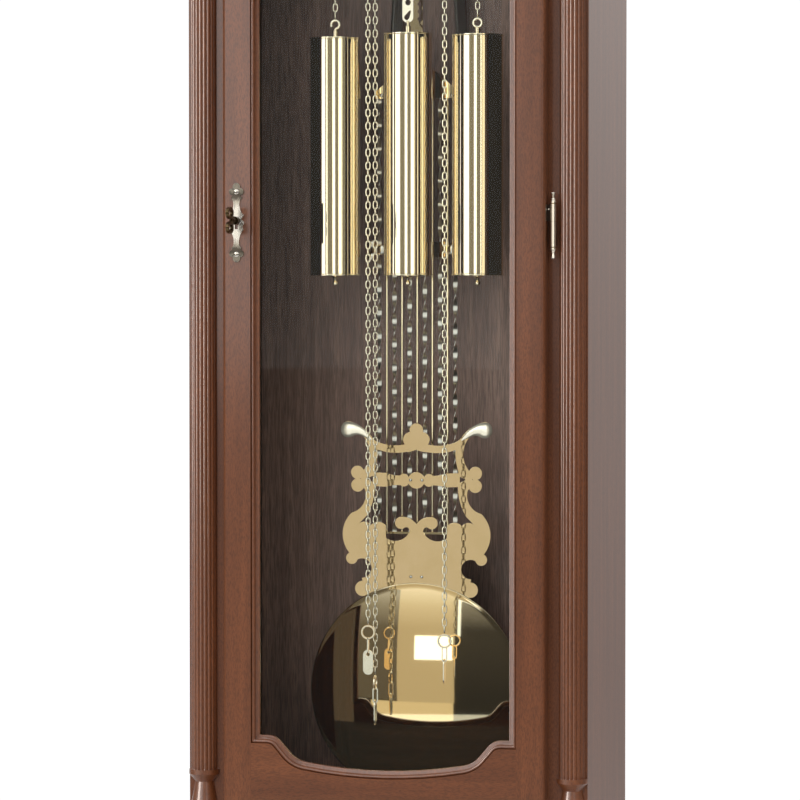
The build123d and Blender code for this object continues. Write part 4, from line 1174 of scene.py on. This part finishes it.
@dataclass
class Pendulum:
    """The lyre pendulum: rods, twisted strips, brackets, lyre plate and domed bob."""

    finishes: Finishes
    body: str = "pendulum"
    rod_pitch_mm: float = 16.9
    rod_r_mm: float = 1.3
    strip_mm: tuple[float, float] = (4.8, 0.6)  # a strip's width and thickness
    half_twist_mm: float = 25.6
    strip_cuts: int = 400
    stagger: float = 1.1  # how far each strip is turned ahead of the last, in radians
    plate_front_mm: float = 178.5  # depth of the lyre's face
    lyre_arris_mm: float = 0.4
    lyre_edge_deg: float = 50.0  # an edge of the lyre sharper than this is eased
    # Each screw's head radius, x, height and depth, and how far its slot is turned.
    screws: tuple[tuple[float, float, float, float, float], ...] = (
        (1.7, -6.0, 691.5, 178.5, 0),
        (1.7, 6.0, 691.5, 178.5, 20),
        (1.7, -6.4, 797.2, 178.5, 40),
        (1.7, 6.4, 797.2, 178.5, 60),
        (2.3, -39.2, 1216.5, 181.0, 40),
        (2.3, 39.2, 1216.5, 181.0, 65),
    )
    horn: tuple[tuple[float, float, float], ...] = (  # x, height and radius along a horn's end
        (49.0, 839.9, 0.6),
        (55.0, 845.4, 3.0),
        (62.0, 850.4, 4.6),
        (69.0, 852.4, 7.2),
        (75.5, 852.0, 9.6),
        (81.0, 851.6, 8.2),
        (84.3, 851.4, 3.5),
        (84.5, 851.4, 0.3),
    )
    horn_flat: float = 0.62  # how much a swelling is flattened in depth
    horn_back_mm: float = 0.6  # how far its middle lies behind the lyre's face
    lobes: tuple[tuple[float, float, float], ...] = (  # x, height and radius, right half
        (39.0, 1048.6, 5.0),
        (46.8, 1048.4, 4.8),
        (50.3, 1054.6, 3.9),
        (50.6, 1041.2, 3.9),
    )
    lobe_rise_mm: float = 1.6
    rim_mm: float = 2.0  # the bob's rim: its height, its width and the way its corners are eased
    rim_w_mm: float = 2.5
    rim_corners: tuple[tuple[float, float], ...] = ((0.5, -2.0), (0, -1.5), (0, -0.7), (0.4, -0.15), (1.0, 0))
    dome_steps: int = 28

    def build(self) -> None:
        """Builds every piece of the pendulum."""
        f = self.finishes
        self.rods()
        self.strips()
        self.bob()
        lyre = bevelled(node_copy("lyre_plate", "pendulum_lyre"), self.lyre_arris_mm, self.lyre_edge_deg)
        fit(lyre, f.plate_brass, self.body, "pendulum_lyre")
        horns = joined("horn_swellings", [self.swelling(side) for side in (-1, 1)])
        fit(horns, f.horn_nickel, self.body)
        # Bright domed caps on the lobes at both ends of the middle bracket.
        places = [(side * x, z, radius) for side in (-1, 1) for x, z, radius in self.lobes]
        caps = [domed("lobe", r, self.lobe_rise_mm, spot(x, self.plate_front_mm, z)) for x, z, r in places]
        fit(joined("middle_bracket_lobes", caps), f.nickel, self.body)
        heads = [screw("screw", radius, spot(x, d, z), turn) for radius, x, z, d, turn in self.screws]
        fit(joined("pendulum_screws", heads), f.nickel, self.body)
        dress_nodes(f.plate_brass, "pendulum_leader", "pendulum_brackets")
        dress_nodes(f.brushed_brass, "rating_nut")
        LOG.info("pendulum built")

    def swelling(self, side: int) -> Piece:
        """The swelling end of one of the lyre's horns, round in front of the plate.

        Args:
            side: -1 on the left, 1 on the right.

        Returns:
            The swelling.
        """
        points = [spot(side * x, 0, z) for x, z, _ in self.horn]
        piece = bent_wire("swelling", 1.0, points, tuple(radius for _, _, radius in self.horn))
        piece.scale.y = self.horn_flat
        piece.location.y = depth(self.plate_front_mm + self.horn_back_mm) - depth(0) * self.horn_flat
        return settle(piece)

    def rods(self) -> None:
        """The five plain brass rods."""
        low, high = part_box("pendulum_rods")
        y = (low.y + high.y) / 2
        made = []
        for place in range(-2, 3):
            x = place * self.rod_pitch_mm * MM
            made.append(rod("rod", self.rod_r_mm, Vector((x, y, low.z)), Vector((x, y, high.z))))
        rods = joined("straight_rods", made)
        fit(rods, self.finishes.mirror_brass, self.body, "pendulum_rods")

    def strips(self) -> None:
        """The six twisted strips between the rods."""
        low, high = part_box("pendulum_spirals")
        middle = (low + high) / 2
        length = high.z - low.z
        turns = length / (self.half_twist_mm * MM) * math.pi
        wide, thick = self.strip_mm
        made = []
        for place in range(-3, 3):
            strip = block("strip", (wide * MM, thick * MM, length), Vector())
            bpy.ops.object.mode_set(mode="EDIT")
            shape = bmesh.from_edit_mesh(strip.data)
            upright = [e for e in shape.edges if abs((e.verts[0].co - e.verts[1].co).z) > length / 2]
            bmesh.ops.subdivide_edges(shape, edges=upright, cuts=self.strip_cuts, use_grid_fill=False)
            bmesh.update_edit_mesh(strip.data)
            bpy.ops.object.mode_set(mode="OBJECT")
            for vertex in strip.data.vertices:
                angle = turns * (vertex.co.z / length) + place * self.stagger
                vertex.co = Matrix.Rotation(angle, 3, "Z") @ vertex.co
            strip.location = ((place + 0.5) * self.rod_pitch_mm * MM, middle.y, middle.z)
            made.append(smooth(settle(strip), 40))
        strips = joined("twisted_strips", made)
        fit(strips, self.finishes.strip_nickel, self.body, "pendulum_spirals")

    def bob(self) -> None:
        """The domed disc with its thin rim."""
        low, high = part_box("pendulum_bob")
        centre = Vector(((low.x + high.x) / 2, high.y, (low.z + high.z) / 2))
        radius = (high.x - low.x) / 2 / MM
        rise = (high.y - low.y) / MM
        inner = radius - self.rim_w_mm
        crown = rise - self.rim_mm
        dome = (inner**2 + crown**2) / (2 * crown)
        profile = [(0, 0), *((radius - r, self.rim_mm + z) for r, z in self.rim_corners)]
        for k in range(self.dome_steps + 1):
            r = inner * (1 - k / self.dome_steps)
            profile.append((r, rise - dome + math.sqrt(dome**2 - r**2)))
        bob = turned("domed_bob", profile, centre, FACING, steps=180)
        fit(bob, self.finishes.mirror_brass, self.body, "pendulum_bob")


# ------------------------------------------------------------------ fittings


@dataclass
class Lock:
    """The key plate on the left stile, with its nails, and the key."""

    finishes: Finishes
    x_mm: float = -156.4
    nail_heights: tuple[float, ...] = (1107.8, 1042.1)
    nail_r_mm: float = 3.0
    nail_rise_mm: float = 1.5
    rim_mm: float = 1.3
    sunk_mm: float = 0.3

    def build(self) -> None:
        """Builds the plate with its sunk face, and its nails."""
        face_plate = pick(node_copy("key_plate", "escutcheon"))
        front = min(v.co.y for v in face_plate.data.vertices)
        bpy.ops.object.mode_set(mode="EDIT")
        bpy.ops.mesh.select_all(action="DESELECT")
        shape = bmesh.from_edit_mesh(face_plate.data)
        # Only the flat front face is sunk.
        for face in shape.faces:
            face.select = face.normal.y < -0.9 and abs(face.calc_center_median().y - front) < 0.2 * MM
        bmesh.update_edit_mesh(face_plate.data)
        bpy.ops.mesh.inset(thickness=self.rim_mm * MM, depth=0)
        bpy.ops.mesh.inset(thickness=self.sunk_mm * MM, depth=-self.sunk_mm * MM)
        bpy.ops.object.mode_set(mode="OBJECT")
        # The plate's colour paints a highlight round the keyhole and shade towards its ends.
        fit(face_plate, self.finishes.plate_painted_sheen, "door", "escutcheon")
        places = [Vector((self.x_mm * MM, front, z * MM)) for z in self.nail_heights]
        nails = [domed("nail", self.nail_r_mm, self.nail_rise_mm, place) for place in places]
        fit(joined("key_plate_nails", nails), self.finishes.nickel, "door")
        dress_nodes(self.finishes.old_bronze, "key")
        LOG.info("lock built")


@dataclass
class Dial:
    """Chapter ring, minute track and numerals on the dial plate."""

    finishes: Finishes
    centre_z_mm: float = 1540.0
    face_mm: float = 58.5  # depth of the raised chapter disc
    outer_mm: float = 113.0
    inner_mm: float = 76.0
    ring_mm: float = 0.6
    mark_mm: float = 0.2
    mark_edge_mm: float = 0.03
    proud_mm: float = 0.65  # how far the marks' middle stands in front of the disc
    tracks: tuple[float, ...] = (108.5, 103.5, 79.0)
    track_half_mm: float = 0.25
    minute_ends: tuple[float, float] = (103.6, 108.4)
    minute_halves: tuple[float, float] = (0.4, 0.9)  # half a minute mark's width, and half a fifth one's
    numeral_mm: float = 23.0
    numeral_r_mm: float = 91.5
    letter_space: float = 0.92
    numerals: tuple[str, ...] = ("XII", "I", "II", "III", "IIII", "V", "VI", "VII", "VIII", "IX", "X", "XI")

    def build(self) -> None:
        """Builds the silvered ring and the black marks on it."""
        outlines = [circle(0, 0, self.outer_mm, 120), circle(0, 0, self.inner_mm, 96)]
        centre = spot(0, self.face_mm - self.ring_mm / 2, self.centre_z_mm)
        chapter = plate("chapter_ring", outlines, self.ring_mm, centre)
        fit(chapter, self.finishes.silvered, "case")
        marks = [self.track(radius) for radius in self.tracks]
        marks += [self.minute(k) for k in range(60)]
        marks += [self.numeral(k, text) for k, text in enumerate(self.numerals)]
        fit(joined("dial_marks", marks), self.finishes.ink, "case")
        LOG.info("dial built")

    def mark(self, name: str, outlines: list[Outline], turn: Matrix) -> Piece:
        """A thin mark lying on the ring."""
        centre = spot(0, self.face_mm - self.proud_mm, self.centre_z_mm)
        return plate(name, outlines, self.mark_mm, centre, turn, self.mark_edge_mm)

    def track(self, radius_mm: float) -> Piece:
        """A thin engraved circle.

        Args:
            radius_mm: The radius of its middle.

        Returns:
            The circle.
        """
        half = self.track_half_mm
        outlines = [circle(0, 0, radius_mm + half, 96), circle(0, 0, radius_mm - half, 96)]
        return self.mark("track", outlines, FACING)

    def minute(self, place: int) -> Piece:
        """One minute's mark between the two outer circles.

        Args:
            place: The minute.

        Returns:
            The mark.
        """
        wide = self.minute_halves[place % 5 == 0]
        foot, head = self.minute_ends
        outline = [(-wide, foot), (wide, foot), (wide, head), (-wide, head)]
        return self.mark("minute", [outline], FACING @ Matrix.Rotation(math.radians(-6 * place), 3, "Z"))

    def numeral(self, hour: int, text: str) -> Piece:
        """One numeral, its foot towards the middle.

        Args:
            hour: Its place, 0 at the top.
            text: Its letters.

        Returns:
            The numeral.
        """
        deselect()
        bpy.ops.object.text_add()
        letters = bpy.context.object.data
        letters.body = text
        letters.align_x = "CENTER"
        letters.align_y = "CENTER"
        letters.size = self.numeral_mm * MM
        letters.space_character = self.letter_space
        letters.extrude = self.mark_mm / 2 * MM
        bpy.ops.object.convert(target="MESH")
        turn = FACING @ Matrix.Rotation(math.radians(-30 * hour), 3, "Z")
        centre = spot(0, self.face_mm - self.proud_mm, self.centre_z_mm)
        return put(bpy.context.object, centre + turn @ Vector((0, self.numeral_r_mm * MM, 0)), turn)


@dataclass
class Fittings:
    """Hinges, movement, hands, chimes and pulls."""

    finishes: Finishes
    hinge_seams: tuple[float, ...] = (434.7, 1075.7, 1728.7)
    hinge_x_mm: float = 179.2
    hinge_depth_mm: float = 9.0
    knuckles: tuple[float, float] = (18.2, 26.3)  # the lengths of the upper and the lower one
    beads: tuple[tuple[float, float], ...] = ((5.4, 2.7), (11.3, 2.8))  # distance past a knuckle, radius
    bead_flat: float = 0.42
    leaf_screw: tuple[float, float] = (173.6, 14.4)  # x and depth
    leaf_screw_r_mm: float = 1.1
    screw_above_mm: float = 12.8

    def build(self) -> None:
        """Dresses the fittings and adds the hinges' beads and screws."""
        f = self.finishes
        dress_nodes(f.steel, "lock_case", "lock_cam", "anchor", "chime_rods")
        # The hinges' leaves behind the knuckles are painted dark as shade.
        dress_nodes(f.satin_nickel_shaded_leaves, "hinge_pins", "hinge_leaves")
        dress_nodes(f.brushed_brass, "movement_frame", "centre_wheel", "third_wheel", "escape_wheel")
        dress_nodes(f.brushed_brass, "hammers_left", "hammers_right")
        dress_nodes(f.plate_brass, "dial")
        dress_nodes(f.blued_steel, "minute_hand", "hour_hand")
        dress_nodes(f.iron, "chime_block")
        for train in TRAIN_NAMES:
            dress_nodes(f.brushed_brass, f"chain_wheel_{train}")
            dress_nodes(f.chain_brass, f"chain_pull_{train}")
        heads = [spot(*self.leaf_screw, seam + self.screw_above_mm) for seam in self.hinge_seams]
        upper, lower = self.knuckles
        for name, made, body in (
            ("hinge_beads_upper", self.hinge_beads(1, upper), "door"),
            ("hinge_beads_lower", self.hinge_beads(-1, lower), "case"),
            ("hinge_screws", [screw("leaf_screw", self.leaf_screw_r_mm, head) for head in heads], "door"),
        ):
            fit(joined(name, made), f.nickel, body)
        LOG.info("fittings dressed")

    def hinge_beads(self, side: int, knuckle: float) -> list[Piece]:
        """A bead and a knob turned on every finial above, or below, its knuckle.

        Args:
            side: 1 above the hinges' seams, -1 below.
            knuckle: The knuckle's length on that side, in millimetres.

        Returns:
            The turnings.
        """
        made = []
        for seam in self.hinge_seams:
            for height, radius in self.beads:
                outline = [(x, z * self.bead_flat) for x, z in arc(0, 0, radius, -90, 90)]
                z = seam + side * (knuckle + height)
                place = spot(self.hinge_x_mm, self.hinge_depth_mm, z)
                made.append(turned("bead", outline, place, UPRIGHT, 24))
        return made


# ------------------------------------------------------------------ the studio


@dataclass(frozen=True)
class SoftBox:
    """An upright light panel that faces straight back at the clock, unless it faces the front."""

    name: str
    across: tuple[float, float]  # its edges across the clock, metres
    heights: tuple[float, float]
    forward: float  # how far it stands in front of the clock's middle
    radiance: float
    colour: str = "ffffff"
    lights: tuple[str, ...] = ()  # how the names of the pieces that it lights begin; all if empty
    gloss_only: bool = False
    faces_front: bool = False

    def build(self) -> None:
        """Makes the panel as a rectangular area lamp that the camera looks through."""
        deselect()
        (left, right), (low, high) = self.across, self.heights
        centre = ((left + right) / 2, -self.forward, (low + high) / 2)
        tilt = math.radians(-90 if self.faces_front else 90)
        bpy.ops.object.light_add(type="AREA", location=centre, rotation=(tilt, 0, 0))
        lamp = bpy.context.object
        lamp.name = f"softbox_{self.name}"
        lamp.data.shape = "RECTANGLE"
        lamp.data.size = right - left
        lamp.data.size_y = high - low
        lamp.data.energy = self.radiance * math.pi * lamp.data.size * lamp.data.size_y
        lamp.data.color = linear(self.colour)[:3]
        lamp.visible_camera = False
        lamp.visible_diffuse = not self.gloss_only
        if self.lights:
            receivers = bpy.data.collections.new(f"lit by {self.name}")
            for piece in bpy.data.objects:
                if piece.name.startswith(self.lights):
                    receivers.objects.link(piece)
            lamp.light_linking.receiver_collection = receivers


# How the names of the pieces begin that some panels light.
WEIGHTS = ("weight_shell", "weight_hanger", "pendulum_leader", "pendulum_brackets")
BRIGHT = ("twisted_strips", "straight_rods", "chain_", "middle_bracket", "horn_", "pendulum_screws")
LINES = ("chain_to", "chain_free", "chain_over", "straight_rods")
WOOD = ("door_", "columns", "face_frame", "eased_glazing_bead", "side_", "plinth", "cornice")
BOB = ("domed_bob",)
IN_DOOR = -depth(41)  # behind the door's stiles
WHITE, CREAM, STRAW = "ffffff", "fffaf0", "ffe6c8"

SOFT_BOXES = (
    # Upright panels that stripe the weights, four of them just behind the door's stiles.
    SoftBox("stripe_left", (-2.3, -0.85), (0.02, 1.60), 1.75, 1.8, WHITE, WEIGHTS),
    SoftBox("stripe_middle", (-0.10, 0.27), (0.02, 1.60), 1.75, 1.8, WHITE, WEIGHTS),
    SoftBox("stripe_right", (0.88, 1.65), (0.02, 1.60), 1.75, 1.25, "fff3d8", WEIGHTS),
    SoftBox("strip_left", (-0.172, -0.1225), (0.38, 1.50), -depth(40), 1.8, WHITE, WEIGHTS),
    SoftBox("strip_right", (0.1225, 0.145), (0.38, 1.50), -depth(40), 1.25, "fff3d8", WEIGHTS),
    SoftBox("inside_left", (-0.240, -0.173), (0.38, 1.50), -depth(42), 0.05, "fff0e0", WEIGHTS),
    SoftBox("inside_right", (0.146, 0.240), (0.38, 1.50), -depth(42), 0.05, "fff0e0", WEIGHTS),
    SoftBox("weights_ground", (-3.0, 3.0), (0.02, 1.8), 1.85, 0.24, "fff0d8", WEIGHTS),
    # Warm boards, which the lyre and the bob mirror, and bright patches on them.
    SoftBox("lyre_board", (-0.62, -0.06), (0.26, 1.60), 1.95, 0.70, "ffe9cc", ("lyre_plate",)),
    SoftBox("board", (-0.56, -0.06), (0.26, 1.60), 1.95, 0.58, "ffe4ba", BOB),
    SoftBox("board_foot", (-0.81, -0.07), (0.02, 0.26), 1.95, 0.80, "ffe4b8", BOB),
    SoftBox("patch", (-0.40, -0.075), (0.62, 0.82), 1.93, 1.9, WHITE, BOB),
    SoftBox("bob_edge", (-0.035, -0.010), (0.82, 1.30), 1.93, 1.6, WHITE, BOB),
    SoftBox("bob_left", (-2.2, -0.56), (0.27, 1.2), 1.97, 0.10, STRAW, BOB),
    SoftBox("bob_side", (-0.262, -0.128), (0.50, 1.0), IN_DOOR, 0.065, STRAW, BOB),
    SoftBox("bob_low", (-0.262, 0.262), (0.10, 0.50), IN_DOOR, 0.013, "d8ece0", BOB),
    # The light that the bob throws back at the pulls.
    SoftBox(
        "pulls_back",
        (-0.12, 0.12),
        (0.40, 0.95),
        -depth(168),
        0.7,
        "ffd9a0",
        ("chain_pull",),
        faces_front=True,
    ),
    # Broad lights for the twisted strips, rods, chains and small bright parts.
    SoftBox("glint", (-2.6, 0.9), (0.3, 2.0), 1.9, 0.9, WHITE, BRIGHT),
    SoftBox("horn_light", (-0.22, 0.22), (0.70, 1.10), -depth(55), 0.6, "fff4dc", ("horn_",)),
    SoftBox("line_light", (-2.6, 2.4), (0.3, 2.0), 1.88, 1.0, CREAM, LINES),
    SoftBox("plate_light", (-2.3, -0.4), (0.8, 2.2), 2.9, 1.15, CREAM, ("key_plate", "weight_hanger")),
    SoftBox("hinge_light", (-1.8, 1.8), (0.3, 2.1), 2.3, 1.15, CREAM, ("hinge_",)),
    # Light through the door onto the back panel, from the left.
    SoftBox("through_door", (-2.5, 0.15), (0.2, 2.0), 2.0, 3.9, WHITE, ("back_panel",)),
    # The main light, high at the front left, a softer one from the right, and sheens on the wood.
    SoftBox("key", (-2.4, -0.9), (1.7, 3.1), 2.1, 2.15),
    SoftBox("fill", (1.1, 1.9), (0.9, 2.6), 2.4, 1.2),
    SoftBox("sheen", (-2.3, -0.38), (0.86, 2.3), 2.9, 2.0, WHITE, WOOD),
    SoftBox(
        "reed_light", (-3.0, -1.5), (0.6, 2.4), 2.2, 15.0, "fff4ec", ("columns", "eased_gl"), gloss_only=True
    ),
)


@dataclass
class Studio:
    """Floor, lights and camera."""

    floor_r: float = 2.8
    # The sky's colours in front and to the right: 0 is straight down, 0.5 level, 1 straight up.
    front_sky: Stops = (
        (0.44, "2c2822"),
        (0.485, "35302a"),
        (0.56, "3f3a33"),
        (0.60, "8a847c"),
        (0.68, "ffffff"),
    )
    right_sky: Stops = ((0.45, "8a8380"), (0.50, "a09a97"), (0.55, "c4bfbc"))
    right_edges: tuple[float, float] = (-0.07, 0.08)  # where the sky turns from white to the right one
    rear_edges: tuple[float, float] = (0.3, 0.8)  # where it turns from front to rear
    sky_strength: float = 1.05
    camera_place: tuple[float, float, float] = (0.832, DOOR_FACE - 3.913, 1.010)
    camera_aim: tuple[float, float, float] = (-0.2033486, 0.9786463, -0.0300123)
    lens_mm: float = 172.43
    sensor_mm: float = 36

    def build(self) -> None:
        """Sets the studio up round the clock."""
        self.floor()
        self.sky()
        for box in SOFT_BOXES:
            box.build()
        self.camera()

    def floor(self) -> None:
        """A round plain floor."""
        deselect()
        bpy.ops.mesh.primitive_circle_add(vertices=96, radius=self.floor_r, fill_type="NGON")
        plane = bpy.context.object
        plane.name = "studio_floor"
        # Matt paper from a roll: even, and without a reflection.
        dress(plane, Paint("white studio paper", "dedede", 0.85).material())

    def sky(self) -> None:
        """White behind the clock and a little dimmer to its right; in front dim, and bright overhead."""
        world = bpy.data.worlds.new("studio light")
        bpy.context.scene.world = world
        world.use_nodes = True
        tree = world.node_tree
        tree.nodes.clear()
        place = add_node(tree, "TexCoord").outputs["Generated"]
        axes = add_node(tree, "SeparateXYZ", inputs={"Vector": place}).outputs
        height = add_node(tree, "MapRange", inputs={"Value": axes["Z"], "From Min": -1.0})
        front = add_node(tree, "ValToRGB", inputs={"Fac": height}, stops=self.front_sky)
        right = add_node(tree, "ValToRGB", inputs={"Fac": height}, stops=self.right_sky)
        to_right, to_rear = (
            add_node(tree, "MapRange", inputs={"Value": axes[axis], "From Min": low, "From Max": high})
            for axis, (low, high) in (("X", self.right_edges), ("Y", self.rear_edges))
        )
        mixed = {"Factor": to_right, 6: linear(WHITE), 7: right}
        rear = add_node(tree, "Mix", {"data_type": "RGBA"}, mixed).outputs[2]
        mixed = {"Factor": to_rear, 6: front, 7: rear}
        colour = add_node(tree, "Mix", {"data_type": "RGBA"}, mixed).outputs[2]
        background = add_node(tree, "Background", inputs={"Color": colour, "Strength": self.sky_strength})
        add_node(tree, "OutputWorld", inputs={"Surface": background})

    def camera(self) -> None:
        """A long lens at chest height, a little to the right of the clock's middle."""
        deselect()
        bpy.ops.object.camera_add(location=self.camera_place)
        camera = bpy.context.object
        camera.name = "camera"
        camera.data.lens = self.lens_mm
        camera.data.sensor_width = self.sensor_mm
        camera.rotation_euler = Vector(self.camera_aim).to_track_quat("-Z", "Y").to_euler()
        bpy.context.scene.camera = camera


def main() -> None:
    """Builds the clock's look and the studio."""
    logging.basicConfig(level=logging.INFO)
    bpy.context.scene.view_settings.view_transform = "Standard"  # no film curve over the colours
    finishes = Finishes()
    Case(finishes).build()
    Fittings(finishes).build()
    Lock(finishes).build()
    Dial(finishes).build()
    for train in TRAIN_NAMES:
        Weight(train, finishes, *WEIGHT_SIZES[train]).build()
        Chain(train, finishes).build()
    Pendulum(finishes).build()
    Studio().build()


if __name__ == "__main__":
    main()
